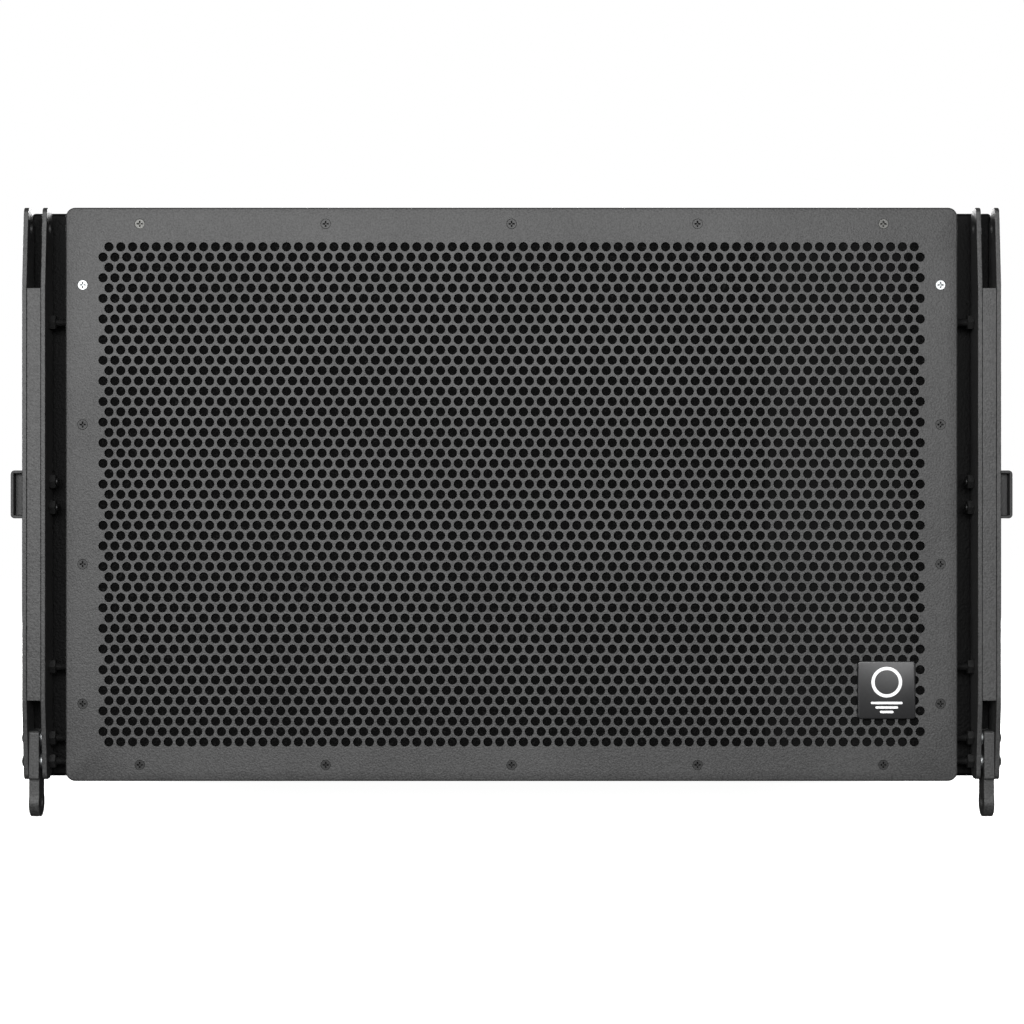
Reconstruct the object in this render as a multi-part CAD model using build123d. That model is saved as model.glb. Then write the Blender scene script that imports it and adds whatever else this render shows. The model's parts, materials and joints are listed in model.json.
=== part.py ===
"""Two-way line array loudspeaker: a flyable box with four link uprights, carry rails and parked lock pins.

Millimetres. +Z is up, the grille faces -Y and +X is the right-hand side seen from the front.
The origin is under the middle of the whole object, at the height of the link tongues' lowest points.
A depth is a distance behind the grille's front face.
"""

from build123d import *
import math
import os

# Cabinet
CABINET_HEIGHT = 436.0
CABINET_DEPTH = 560.0
BODY_CLEARANCE = 0.2
NOSE_WIDTH = 676.0
NOSE_DEPTH = 34.0
PLY = 18.0
CORNER_RADIUS = 7.2
EDGE_RADIUS = 3.0
BAFFLE_DEPTH = 40.0
REAR_RECESS = 6.0
BRACE_DEPTH = 330.0
BRACE_WIDTH = 600.0
BRACE_RAIL = 50.0
LINING = 25.0

# Grille
GRILLE_OVERHANG = 1.0
GRILLE_SHEET = 2.0
GRILLE_EDGE = 1.4
FOAM = 10.0
FOAM_GAP = 0.5
SCREW_RADIUS = 2.0
SCREW_HEAD_RADIUS = 3.8
SCREW_HEAD_HEIGHT = 1.8
SCREW_LENGTH = 20.0
CROSS_REACH = 0.62
CROSS_WIDTH = 1.0
CROSS_DEPTH = 1.3
SCREW_ROW_INSET = 12.4
SCREW_COLUMN_INSET = 13.0
SCREW_ROW_PITCH = 141.3
SCREW_COLUMN_PITCH = 106.1
BADGE_SIZE = 44.0
BADGE_PROUD = 3.0
BADGE_CORNER = 2.0
BADGE_RIGHT = 284.6
BADGE_BELOW = 148.5

# Low-frequency driver, on an axis along Y
LF_SIDE = -105.0
LF_FRAME_RADIUS = 194.0
LF_FLANGE = 8.0
LF_GASKET = 2.0
LF_HOLE_CLEARANCE = 2.0
LF_LIP = 24.0
LF_NECK_RADIUS = 100.0
LF_BASKET_DEPTH = 92.0
LF_BASKET_WALL = 4.0
LF_WINDOWS = 8
LF_SCREWS = 8
BAFFLE_SCREW_RADIUS = 3.0
BAFFLE_SCREW_HEAD = 4.0
COIL_RADIUS = 37.0
COIL_FORMER = 0.6
COIL_WINDING = 1.4
COIL_LENGTH = 20.0
COIL_GAP = 1.2
POLE_GAP = 0.8
POLE_VENT_RADIUS = 9.0
TOP_PLATE = 8.0
MAGNET = 20.0
MAGNET_RADIUS = 95.0
MAGNET_BORE_MARGIN = 13.0
BACK_PLATE = 8.0
PLATE_RADIUS = 78.0
CONE_TRAVEL = 8.0
CONE_PAPER = 1.2
CONE_BOW = 4.0
SURROUND_ROLL = 9.0
SURROUND_SKIN = 1.0
SPIDER_DEPTH = 65.0
SPIDER_WAVES = 5
SPIDER_WAVE = 1.5
SPIDER_SKIN = 0.8
DUST_CAP_LIP = 8.0
DUST_CAP_RISE = 14.0
DUST_CAP_SKIN = 1.0

# High-frequency section
HF_SIDE = 246.5
MOUTH_WIDTH = 107.0
HORN_CLEARANCE = 2.0
THROAT_WIDTH = 25.4
THROAT_SHORTENING = 50.0
THROAT_DEPTH = 170.0
HORN_WALL = 4.0
HORN_FLANGE = 5.0
HORN_FLANGE_MARGIN = 8.0
THROAT_PLATE = 8.0
HF_SPACING = 170.0
HF_RADIUS = 50.0
HF_PLATE = 8.0
HF_MAGNET = 16.0
HF_TOP_PLATE = 6.0
HF_LIP = 4.0
HF_COVER = 28.0
HF_COVER_WALL = 3.0
HF_COIL_RADIUS = 22.0
HF_COIL_WALL = 0.4
HF_COIL_GAP = 0.6
HF_DOME_RISE = 8.0
HF_TRAVEL = 0.3

# Bass ports
PORT_RADIUS = 37.0
PORT_WALL = 3.0
PORT_FLANGE = 6.0
PORT_FLANGE_THICKNESS = 4.0
PORT_LENGTH = 150.0
PORT_PITCH = 125.0
PORT_COUNT = 3

# Link frame
PLATE = 3.6
LINK_SLOT = 10.6
FRAME_GAP = 16.4
UPRIGHT_DEPTH = 29.0
UPRIGHT_SETBACK = 7.0
UPRIGHT_RELIEF = 0.3
EAR_PROUD = 1.2
UPRIGHT_CORNER = 5.0
EAR_CORNER = 12.0
WEB_HEIGHT = 314.0
WEB_SETBACK = 0.5
PLATE_EDGE = 0.9
LINK_DEPTH = 18.0
LINK_HOLE_RADIUS = 4.0
EAR_HOLE_BELOW = 13.5
STACK_GAP = 4.4
TONGUE = 8.0
TONGUE_RADIUS = 11.0
TONGUE_WAIST = 9.5
TONGUE_RISE = 37.3
TONGUE_BOLT_LOW = 13.7
TONGUE_BOLT_PITCH = 17.8
BOLT_RADIUS = 3.0
BOLT_HEAD_RADIUS = 5.25
BOLT_HEAD_HEIGHT = 3.3
SOCKET_SHARE = 1.2
NUT_FLATS = 10.0
NUT_HEIGHT = 5.0
SHIM_RADIUS = 6.0
INSERT_RADIUS = 4.5
INSERT_LENGTH = 15.0
INSERT_SPARE = 2.0
STUD_SPREAD = 132.0
HOLE_CLEARANCE = 0.2

# Carry rails
RAIL_HEIGHT = 36.5
RAIL_PROUD = 9.0
RAIL_WALL = 2.3
RAIL_CORNER = 3.0
RAIL_SETBACK = 2.0
RAIL_SPACER_LENGTH = 18.0
RAIL_BOLT_SPREAD = 9.9
RAIL_BOLT_HEAD = 6.0
CUP_LENGTH = 160.0
CUP_HEIGHT = 110.0
CUP_DEPTH = 56.0
CUP_WALL = 3.0
CUP_CORNER = 14.0

# Parked lock pins
PIN_RISE = 100.0
PIN_FIT = 0.05
PIN_SHANK = 27.0
PIN_HANDLE_RADIUS = 9.0
PIN_HANDLE_LENGTH = 17.0
PIN_WAIST = 1.5
PIN_GRIP_STEP = 2.0
BUTTON_RADIUS = 5.0
BUTTON_FIT = 0.1
BUTTON_PROUD = 4.0
BUTTON_TRAVEL = 3.0
BUTTON_CAP = 8.0
SPINDLE_RADIUS = 1.8
SPRING_LENGTH = 7.0
SPRING_WALL = 1.6

# Input panel
INPUT_WIDTH = 200.0
INPUT_HEIGHT = 110.0
INPUT_SHEET = 2.0
INPUT_MARGIN = 15.0
SOCKET_SPREAD = 42.0
SOCKET_FLANGE = 34.0
SOCKET_FLANGE_THICKNESS = 3.5
SOCKET_BARREL_RADIUS = 14.0
SOCKET_BORE_RADIUS = 11.5
SOCKET_LENGTH = 30.0
SOCKET_FLOOR = 4.0
BOARD_WIDTH = 160.0
BOARD_DEPTH = 110.0
BOARD_SHEET = 2.0
BOARD_STANDOFF = 8.0
BOARD_FOOT = 10.0
CHOKE_RADIUS = 22.0
CHOKE_HEIGHT = 24.0
CAPACITOR_RADIUS = 10.0
CAPACITOR_LENGTH = 34.0

# Places worked out from the sizes above
TONGUE_EYE = TONGUE_RADIUS
TONGUE_DROP = TONGUE_EYE + EAR_HOLE_BELOW + STACK_GAP
Z_BOTTOM = TONGUE_DROP
Z_TOP = Z_BOTTOM + CABINET_HEIGHT
Z_MID = (Z_BOTTOM + Z_TOP) / 2
Z_EAR = Z_TOP - EAR_HOLE_BELOW
Y_FACE = (BADGE_PROUD - CABINET_DEPTH) / 2
Y_BACK = Y_FACE + CABINET_DEPTH
Y_CENTRE = (Y_FACE + Y_BACK) / 2
Y_BOARD = Y_FACE + GRILLE_SHEET
Y_SHOULDER = Y_FACE + NOSE_DEPTH
Y_BAFFLE = Y_FACE + BAFFLE_DEPTH
Y_FOAM_BACK = Y_BOARD + FOAM
Y_REAR_BOARD = Y_BACK - REAR_RECESS - PLY
Y_LINK = Y_FACE + LINK_DEPTH
X_NOSE = NOSE_WIDTH / 2
X_CHEEK = X_NOSE - PLY
X_INNER_PLATE = X_NOSE + FRAME_GAP
X_SLOT = X_INNER_PLATE + PLATE
X_OUTER_PLATE = X_SLOT + LINK_SLOT
X_FRAME = X_OUTER_PLATE + PLATE
X_BODY = X_FRAME - BODY_CLEARANCE
X_RAIL = X_FRAME + RAIL_PROUD
X_TONGUE = X_OUTER_PLATE - TONGUE
Z_INSIDE_LOW = Z_BOTTOM + PLY
Z_INSIDE_HIGH = Z_TOP - PLY
MOUTH_HEIGHT = CABINET_HEIGHT - 2 * (PLY + HORN_WALL + HORN_FLANGE_MARGIN / 2 + HORN_CLEARANCE)
THROAT_HEIGHT = MOUTH_HEIGHT - THROAT_SHORTENING
MAGNET_BORE = COIL_RADIUS + MAGNET_BORE_MARGIN
DUST_CAP_RADIUS = COIL_RADIUS + DUST_CAP_LIP
MIDDLE = Plane(origin=(0, Y_CENTRE, 0), z_dir=(0, 1, 0))


def block(x0, x1, y0, y1, z0, z1):
    """A box between two opposite corners."""
    return Pos((x0 + x1) / 2, (y0 + y1) / 2, (z0 + z1) / 2) * Box(x1 - x0, y1 - y0, z1 - z0)


def rod_x(radius, x0, x1, y, z):
    """A round bar along X."""
    return Pos((x0 + x1) / 2, y, z) * Rot(0, 90, 0) * Cylinder(radius, x1 - x0)


def rod_y(radius, y0, y1, x, z):
    """A round bar along Y."""
    return Pos(x, (y0 + y1) / 2, z) * Rot(90, 0, 0) * Cylinder(radius, y1 - y0)


def turned(points, x, y, z):
    """A turned piece about an axis along Y, from (radius, depth) points."""
    return Pos(x, y, z) * revolve(make_face(Polyline(*points, close=True)), Axis.Y)


def turned_x(points, y, z):
    """A turned piece about an axis along X, from (x, radius) points."""
    return Pos(0, y, z) * revolve(make_face(Polyline(*points, close=True)), Axis.X)


def hexagon_x(flats, x0, x1, y, z):
    """A hexagonal bar along X."""
    outline = Pos(y, z) * RegularPolygon(flats / math.sqrt(3), 6)
    return extrude(Plane.YZ.offset(x0) * outline, amount=x1 - x0)


def front_slab(outline, y0, y1):
    """An outline drawn seen from the front, run from one depth to another."""
    return extrude(Plane(origin=(0, y1, 0), x_dir=(1, 0, 0), z_dir=(0, -1, 0)) * outline, amount=y1 - y0)


def mirrored(*shapes):
    """The shapes with their copies on the other side of the object."""
    return list(shapes) + [mirror(shape, about=Plane.YZ) for shape in shapes]


def at_corners(*shapes):
    """Shapes made for the front right corner, with their copies at the other three."""
    front = mirrored(*shapes)
    return front + [mirror(shape, about=MIDDLE) for shape in front]


def save(name, *shapes):
    """Write one named sub-part, as its separate solids."""
    solids = [solid for shape in shapes for solid in shape.solids()]
    export_step(solids[0] if len(solids) == 1 else Compound(solids), f"parts/{name}.step")


def envelope():
    """The outside of the wooden box: a rounded nose and tail, and a wider body between them."""
    outline = Pos(0, Z_MID) * RectangleRounded(NOSE_WIDTH, CABINET_HEIGHT, CORNER_RADIUS)
    nose = front_slab(outline, Y_BOARD, Y_BACK)
    body = block(-X_BODY, X_BODY, Y_SHOULDER, Y_BACK - NOSE_DEPTH, Z_BOTTOM, Z_TOP)
    return nose + fillet(body.edges(), EDGE_RADIUS)


def grille_screw_places():
    """The (x, z) centres of the grille screws: two rows of five and two columns of four."""
    row_z = CABINET_HEIGHT / 2 - SCREW_ROW_INSET
    column_x = NOSE_WIDTH / 2 + GRILLE_OVERHANG - SCREW_COLUMN_INSET
    rows = [(step * SCREW_ROW_PITCH, side * row_z) for side in (-1, 1) for step in (-2, -1, 0, 1, 2)]
    steps = [step * SCREW_COLUMN_PITCH for step in (-1.5, -0.5, 0.5, 1.5)]
    columns = [(side * column_x, z) for side in (-1, 1) for z in steps]
    return [(x, Z_MID + z) for x, z in rows + columns]


def grille_screw_bores():
    """The screw holes in the front edges of the boards."""
    reach = Y_FACE + SCREW_LENGTH + HOLE_CLEARANCE
    return [rod_y(SCREW_RADIUS, Y_BOARD, reach, x, z) for x, z in grille_screw_places()]


def link_bolt_places():
    """The heights of the bolts that cross from the front right upright into its cheek."""
    tongue = [Z_BOTTOM + TONGUE_BOLT_LOW, Z_BOTTOM + TONGUE_BOLT_LOW + TONGUE_BOLT_PITCH]
    return tongue + [Z_MID - STUD_SPREAD, Z_MID + STUD_SPREAD]


def insert_bores():
    """The holes in the boards for the threaded inserts that take those bolts, at all four corners."""
    holes = [rod_x(INSERT_RADIUS, X_NOSE - INSERT_LENGTH, X_NOSE, Y_LINK, z) for z in link_bolt_places()]
    return at_corners(*holes)


def board_screw_places():
    """The (x, z) centres of the screws on the baffle: the low driver's ring, then the horn's flange."""
    radius = LF_FRAME_RADIUS - 8.5
    turns = [math.radians(22.5 + 360 / LF_SCREWS * i) for i in range(LF_SCREWS)]
    ring = [(LF_SIDE + radius * math.cos(a), Z_MID + radius * math.sin(a)) for a in turns]
    reach_x = MOUTH_WIDTH / 2 + HORN_WALL + HORN_FLANGE_MARGIN / 2
    heights = [Z_MID + step * MOUTH_HEIGHT / 3.2 for step in (-1, 0, 1)]
    flange = [(HF_SIDE + side * reach_x, z) for side in (-1, 1) for z in heights]
    return ring, flange


def cabinet(shell):
    """The wooden boards, all cut from the one rounded envelope."""
    pilot = grille_screw_bores()
    inserts = insert_bores()
    save("top_board", (shell & block(-X_BODY, X_BODY, Y_BOARD, Y_BACK, Z_INSIDE_HIGH, Z_TOP)) - pilot)
    floor = shell & block(-X_BODY, X_BODY, Y_BOARD, Y_BACK, Z_BOTTOM, Z_INSIDE_LOW)
    save("bottom_board", floor - pilot - inserts)
    cheek_back = Y_BAFFLE + PLY
    cheek = block(X_CHEEK, X_NOSE, Y_BOARD, cheek_back, Z_INSIDE_LOW, Z_INSIDE_HIGH)
    tail = block(X_CHEEK, X_NOSE, Y_BACK - NOSE_DEPTH - PLY, Y_BACK, Z_INSIDE_LOW, Z_INSIDE_HIGH)
    cheeks = [piece - pilot - inserts for piece in mirrored(cheek, tail)]
    save("nose_cheeks", *cheeks)
    shoulder = block(X_NOSE, X_BODY, Y_SHOULDER, Y_SHOULDER + PLY, Z_INSIDE_LOW, Z_INSIDE_HIGH)
    save("shoulder_boards", *at_corners(shell & shoulder))
    side_front = Y_SHOULDER + PLY
    side = block(X_BODY - PLY, X_BODY, side_front, 2 * Y_CENTRE - side_front, Z_INSIDE_LOW, Z_INSIDE_HIGH)
    side = side - cup_outline(PLY, 0)
    save("side_board_right", side)
    save("side_board_left", mirror(side, about=Plane.YZ))


def cup_outline(depth, inset):
    """The hand hold's rounded outline in the right side board, as a slab going in from outside."""
    outline = RectangleRounded(CUP_LENGTH - 2 * inset, CUP_HEIGHT - 2 * inset, CUP_CORNER - inset)
    plane = Plane.YZ.offset(X_BODY - depth)
    return extrude(plane * Pos(Y_CENTRE, Z_MID) * outline, amount=depth)


def inner_boards():
    """The rear board, the baffle, the brace and the damping wadding."""
    rear = block(-X_CHEEK, X_CHEEK, Y_REAR_BOARD, Y_REAR_BOARD + PLY, Z_INSIDE_LOW, Z_INSIDE_HIGH)
    half_w = INPUT_WIDTH / 2 - INPUT_MARGIN
    half_h = INPUT_HEIGHT / 2 - INPUT_MARGIN
    cut = block(-half_w, half_w, Y_REAR_BOARD, Y_REAR_BOARD + PLY, Z_MID - half_h, Z_MID + half_h)
    pilots = [rod_y(SCREW_RADIUS, Y_REAR_BOARD, Y_REAR_BOARD + PLY, x, z) for x, z in input_screw_places()]
    save("rear_board", rear - cut - pilots)
    save("baffle", baffle_board())
    back = Y_FACE + BRACE_DEPTH
    half = BRACE_WIDTH / 2
    brace = block(-half, half, back, back + PLY, Z_INSIDE_LOW, Z_INSIDE_HIGH)
    low = Z_INSIDE_LOW + BRACE_RAIL
    high = Z_INSIDE_HIGH - BRACE_RAIL
    left = block(BRACE_RAIL - half, -BRACE_RAIL / 2, back, back + PLY, low, high)
    save("window_brace", brace - mirrored(left))
    pad = LINING
    front = back + PLY + pad
    rear_pad = block(-half, half, Y_REAR_BOARD - pad, Y_REAR_BOARD, Z_INSIDE_LOW + pad, Z_INSIDE_HIGH - pad)
    window = block(-half_w, half_w, Y_REAR_BOARD - pad, Y_REAR_BOARD, Z_MID - half_h, Z_MID + half_h)
    floor_pad = block(-half, half, front, Y_REAR_BOARD, Z_INSIDE_LOW, Z_INSIDE_LOW + pad)
    roof_pad = block(-half, half, front, Y_REAR_BOARD, Z_INSIDE_HIGH - pad, Z_INSIDE_HIGH)
    save("acoustic_lining", rear_pad - window, floor_pad, roof_pad)


def baffle_board():
    """The board that carries the driver, the horn and the ports."""
    board = block(-X_CHEEK, X_CHEEK, Y_BAFFLE, Y_BAFFLE + PLY, Z_INSIDE_LOW, Z_INSIDE_HIGH)
    driver = rod_y(lf_hole_radius(), Y_BAFFLE, Y_BAFFLE + PLY, LF_SIDE, Z_MID)
    horn = horn_loft(HORN_WALL + HORN_FLANGE_MARGIN / 4)
    back = Y_BAFFLE + PLY
    ports = [rod_y(PORT_RADIUS + PORT_WALL, Y_BAFFLE, back, port_side(), z) for z in port_heights()]
    ring, flange = board_screw_places()
    bores = [rod_y(BAFFLE_SCREW_RADIUS, Y_BAFFLE, back, x, z) for x, z in ring + flange]
    return board - driver - horn - ports - bores


def grille():
    """The grille sheet, its foam, its screws and the plain badge plate."""
    width = NOSE_WIDTH + 2 * GRILLE_OVERHANG
    outline = Pos(0, Z_MID) * RectangleRounded(width, CABINET_HEIGHT, CORNER_RADIUS)
    sheet = front_slab(outline, Y_FACE, Y_BOARD)
    front = sheet.faces().sort_by(Axis.Y)[0]
    sheet = fillet(front.edges(), GRILLE_EDGE)
    mouth = SCREW_HEAD_RADIUS + HOLE_CLEARANCE
    hole = SCREW_RADIUS + HOLE_CLEARANCE
    sink = [(0, 0), (mouth, 0), (hole, SCREW_HEAD_HEIGHT), (hole, GRILLE_SHEET), (0, GRILLE_SHEET)]
    sinks = [turned(sink, x, Y_FACE, z) for x, z in grille_screw_places()]
    save("grille_panel", sheet - sinks)
    low = Z_INSIDE_LOW + FOAM_GAP
    high = Z_INSIDE_HIGH - FOAM_GAP
    side = X_CHEEK - FOAM_GAP
    save("grille_foam", block(-side, side, Y_BOARD, Y_FOAM_BACK, low, high))
    save("grille_screws", *[grille_screw(x, z) for x, z in grille_screw_places()])
    square = RectangleRounded(BADGE_SIZE, BADGE_SIZE, BADGE_CORNER)
    save("badge", front_slab(Pos(BADGE_RIGHT, Z_MID - BADGE_BELOW) * square, Y_FACE - BADGE_PROUD, Y_FACE))


def grille_screw(x, z):
    """A countersunk screw with a cross recess."""
    tip = SCREW_LENGTH
    shank = SCREW_RADIUS
    profile = [(0, 0), (SCREW_HEAD_RADIUS, 0), (shank, SCREW_HEAD_HEIGHT), (shank, tip - shank), (0, tip)]
    screw = turned(profile, x, Y_FACE, z)
    reach = SCREW_HEAD_RADIUS * CROSS_REACH
    half = CROSS_WIDTH / 2
    floor = Y_FACE + CROSS_DEPTH
    slots = [
        block(x - reach, x + reach, Y_FACE, floor, z - half, z + half),
        block(x - half, x + half, Y_FACE, floor, z - reach, z + reach),
    ]
    return screw - slots


def lf_hole_radius():
    """The radius of the hole that the low driver's basket drops into."""
    return LF_FRAME_RADIUS - LF_LIP + LF_BASKET_WALL + 1 + LF_HOLE_CLEARANCE


def lf_basket_profile():
    """The basket's wall as (radius, depth) points, with the ledge that the spider sits on."""
    flange_back = -LF_GASKET
    flange_front = flange_back - LF_FLANGE
    rim = LF_FRAME_RADIUS - LF_LIP
    wall = LF_BASKET_WALL
    neck = LF_NECK_RADIUS
    ledge = SPIDER_DEPTH + SPIDER_SKIN
    return [
        (rim, flange_front), (LF_FRAME_RADIUS, flange_front), (LF_FRAME_RADIUS, flange_back),
        (rim + wall + 1, flange_back), (rim + 1, 12), (neck, SPIDER_DEPTH - 1), (neck, LF_BASKET_DEPTH),
        (COIL_RADIUS + 9, LF_BASKET_DEPTH), (COIL_RADIUS + 9, LF_BASKET_DEPTH - wall),
        (neck - wall, LF_BASKET_DEPTH - wall), (neck - wall, ledge + wall), (neck - 3 * wall, ledge + wall),
        (neck - 3 * wall, ledge), (neck - wall, ledge), (neck - wall, SPIDER_DEPTH - 3),
        (rim - 3, 10), (rim, flange_back),
    ]


def lf_motor():
    """The basket with its gasket, and the magnet system behind it."""
    place = (LF_SIDE, Y_BAFFLE, Z_MID)
    basket = turned(lf_basket_profile(), *place)
    half = math.radians(180 / LF_WINDOWS - 6)
    far = LF_FRAME_RADIUS
    for i in range(LF_WINDOWS):
        middle = math.radians(360 / LF_WINDOWS * i)
        corners = [(far * math.cos(middle + s * half), far * math.sin(middle + s * half)) for s in (-1, 1)]
        wedge = Pos(LF_SIDE, Z_MID) * make_face(Polyline((0, 0), *corners, close=True))
        basket = basket - front_slab(wedge, Y_BAFFLE + PLY + 2, Y_BAFFLE + SPIDER_DEPTH - 9)
    ring, _ = board_screw_places()
    front = Y_BAFFLE - LF_GASKET - LF_FLANGE
    holes = [rod_y(BAFFLE_SCREW_RADIUS + HOLE_CLEARANCE, front, Y_BAFFLE, x, z) for x, z in ring]
    save("lf_basket", basket - holes)
    gasket_bore = lf_hole_radius()
    gasket = rod_y(LF_FRAME_RADIUS, Y_BAFFLE - LF_GASKET, Y_BAFFLE, LF_SIDE, Z_MID)
    gasket = gasket - rod_y(gasket_bore, Y_BAFFLE - LF_GASKET, Y_BAFFLE, LF_SIDE, Z_MID)
    save("lf_gasket", gasket - holes)
    bore = COIL_RADIUS + COIL_FORMER + COIL_WINDING + COIL_GAP
    plate_front = LF_BASKET_DEPTH
    plate_back = plate_front + TOP_PLATE
    magnet_back = plate_back + MAGNET
    end = magnet_back + BACK_PLATE
    pole = COIL_RADIUS - POLE_GAP
    save("lf_top_plate", turned(ring_profile(bore, PLATE_RADIUS, plate_front, plate_back), *place))
    save("lf_magnet", turned(ring_profile(MAGNET_BORE, MAGNET_RADIUS, plate_back, magnet_back), *place))
    vent = POLE_VENT_RADIUS
    profile = [
        (vent, plate_front), (pole, plate_front), (pole, magnet_back),
        (PLATE_RADIUS, magnet_back), (PLATE_RADIUS, end), (vent, end),
    ]
    save("lf_pole_piece", turned(profile, *place))


def ring_profile(inner, outer, front, back):
    """A plain ring's section as (radius, depth) points."""
    return [(inner, front), (outer, front), (outer, back), (inner, back)]


def cone_edge_depth():
    """The depth of the cone's rim, level with the basket's front face."""
    return -LF_GASKET - LF_FLANGE


def cone_neck_depth():
    """The depth at which the cone meets the coil former."""
    return SPIDER_DEPTH - CONE_TRAVEL - 8


def cone_rim_radius():
    """The cone's outer radius, one roll inside the basket's rim."""
    return LF_FRAME_RADIUS - LF_LIP - 2 * SURROUND_ROLL - 1


def lf_moving_parts():
    """The coil, spider, cone, dust cap and surround."""
    place = (LF_SIDE, Y_BAFFLE, Z_MID)
    inner = COIL_RADIUS
    former = inner + COIL_FORMER
    winding = former + COIL_WINDING
    middle = LF_BASKET_DEPTH + TOP_PLATE / 2
    start = middle - COIL_LENGTH / 2
    finish = middle + COIL_LENGTH / 2
    neck = cone_neck_depth()
    rim = cone_rim_radius()
    edge = cone_edge_depth()
    coil = [
        (inner, neck), (former, neck), (former, start),
        (winding, start), (winding, finish), (inner, finish),
    ]
    save("lf_voice_coil", turned(coil, *place))
    skin = CONE_PAPER
    back = [(former, neck), (former, neck + skin * 1.4), (rim, edge + skin), (rim, edge)]
    middle_point = ((former + rim) / 2 - CONE_BOW, (neck + edge) / 2 - CONE_BOW)
    bow = Polyline(*back) + ThreePointArc((rim, edge), middle_point, (former, neck))
    save("lf_cone", Pos(*place) * revolve(make_face(bow), Axis.Y))
    save("lf_dust_cap", dust_cap(neck, rim, edge))
    save("lf_surround", surround(rim, edge))
    save("lf_spider", spider(former))


def strip(points, back_points):
    """A closed outline between a front line of points and a back line that returns."""
    return make_face(Polyline(*points, *reversed(back_points), close=True))


def dome(radius, rise, skin, seat):
    """A thin domed shell's outer and inner lines; the crown stands a rise behind the seat."""
    steps = 10
    inside = rise - math.copysign(skin, rise)
    turns = [math.pi / 2 * i / steps for i in range(steps + 1)]
    outer = [(radius * math.cos(a), seat + rise * math.sin(a)) for a in turns]
    inner = [((radius - skin) * math.cos(a), seat + inside * math.sin(a)) for a in turns]
    return outer[:-1] + [(0, seat + rise)], inner[:-1] + [(0, seat + inside)]


def dust_cap(neck, rim, edge):
    """The domed cap over the coil, sitting on the cone."""
    slope = (neck - edge) / (rim - COIL_RADIUS)
    seat = neck - slope * (DUST_CAP_RADIUS - COIL_RADIUS) - CONE_BOW
    outer, inner = dome(DUST_CAP_RADIUS, -DUST_CAP_RISE, DUST_CAP_SKIN, seat)
    return Pos(LF_SIDE, Y_BAFFLE, Z_MID) * revolve(strip(outer, inner), Axis.Y)


def surround(rim, edge):
    """The half-roll edge between the cone's rim and the basket's front face."""
    skin = SURROUND_SKIN
    centre = rim + SURROUND_ROLL
    steps = 12
    turns = [math.pi * (1 - i / steps) for i in range(steps + 1)]
    big = SURROUND_ROLL
    small = SURROUND_ROLL - skin
    outer = [(centre + big * math.cos(a), edge - skin - big * math.sin(a)) for a in turns]
    inner = [(centre + small * math.cos(a), edge - small * math.sin(a)) for a in turns]
    front = [(rim - 5, edge - skin)] + outer + [(centre + big + 10, edge - skin)]
    back = [(rim - 5, edge)] + inner + [(centre + big + 10, edge)]
    return Pos(LF_SIDE, Y_BAFFLE, Z_MID) * revolve(strip(front, back), Axis.Y)


def spider(inner):
    """The corrugated centring disc between the coil former and the basket's ledge."""
    outer = LF_NECK_RADIUS - LF_BASKET_WALL
    steps = SPIDER_WAVES * 8
    ledge = outer - 2 * LF_BASKET_WALL
    shares = [i / steps for i in range(steps + 1)]
    turn = 2 * math.pi * SPIDER_WAVES
    wave = [(inner + (ledge - inner) * s, SPIDER_DEPTH + SPIDER_WAVE * math.sin(turn * s)) for s in shares]
    front = wave + [(outer, SPIDER_DEPTH)]
    back = [(r, depth + SPIDER_SKIN) for r, depth in front]
    return Pos(LF_SIDE, Y_BAFFLE, Z_MID) * revolve(strip(front, back), Axis.Y)


def horn_loft(margin):
    """The horn's straight flare from mouth to throat, grown by a margin on every side."""
    mouth = Plane(origin=(HF_SIDE, Y_FOAM_BACK + FOAM_GAP, Z_MID), x_dir=(1, 0, 0), z_dir=(0, -1, 0))
    throat = Plane(origin=(HF_SIDE, Y_FACE + THROAT_DEPTH, Z_MID), x_dir=(1, 0, 0), z_dir=(0, -1, 0))
    wide = mouth * Rectangle(MOUTH_WIDTH + 2 * margin, MOUTH_HEIGHT + 2 * margin)
    narrow = throat * Rectangle(THROAT_WIDTH + 2 * margin, THROAT_HEIGHT + 2 * margin)
    return loft([wide, narrow], ruled=True)


def hf_heights():
    """The heights of the two high-frequency drivers, lower one first."""
    return [Z_MID - HF_SPACING / 2, Z_MID + HF_SPACING / 2]


def waveguide():
    """The moulded horn with its mounting flange and its throat plate."""
    half_w = MOUTH_WIDTH / 2 + HORN_WALL + HORN_FLANGE_MARGIN
    half_h = MOUTH_HEIGHT / 2 + HORN_WALL + HORN_FLANGE_MARGIN / 2
    flange_front = Y_BAFFLE - HORN_FLANGE
    low = Z_MID - half_h
    high = Z_MID + half_h
    flange = block(HF_SIDE - half_w, HF_SIDE + half_w, flange_front, Y_BAFFLE, low, high)
    back = Y_FACE + THROAT_DEPTH
    half_t = THROAT_HEIGHT / 2 + 2 * HORN_WALL
    left = HF_SIDE - HF_RADIUS
    right = HF_SIDE + HF_RADIUS
    plate = block(left, right, back, back + THROAT_PLATE, Z_MID - half_t, Z_MID + half_t)
    horn = horn_loft(HORN_WALL) + flange + plate - horn_loft(0)
    throats = [rod_y(THROAT_WIDTH / 2, back, back + THROAT_PLATE, HF_SIDE, z) for z in hf_heights()]
    _, places = board_screw_places()
    holes = [rod_y(BAFFLE_SCREW_RADIUS + HOLE_CLEARANCE, flange_front, Y_BAFFLE, x, z) for x, z in places]
    return horn - throats - holes


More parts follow.
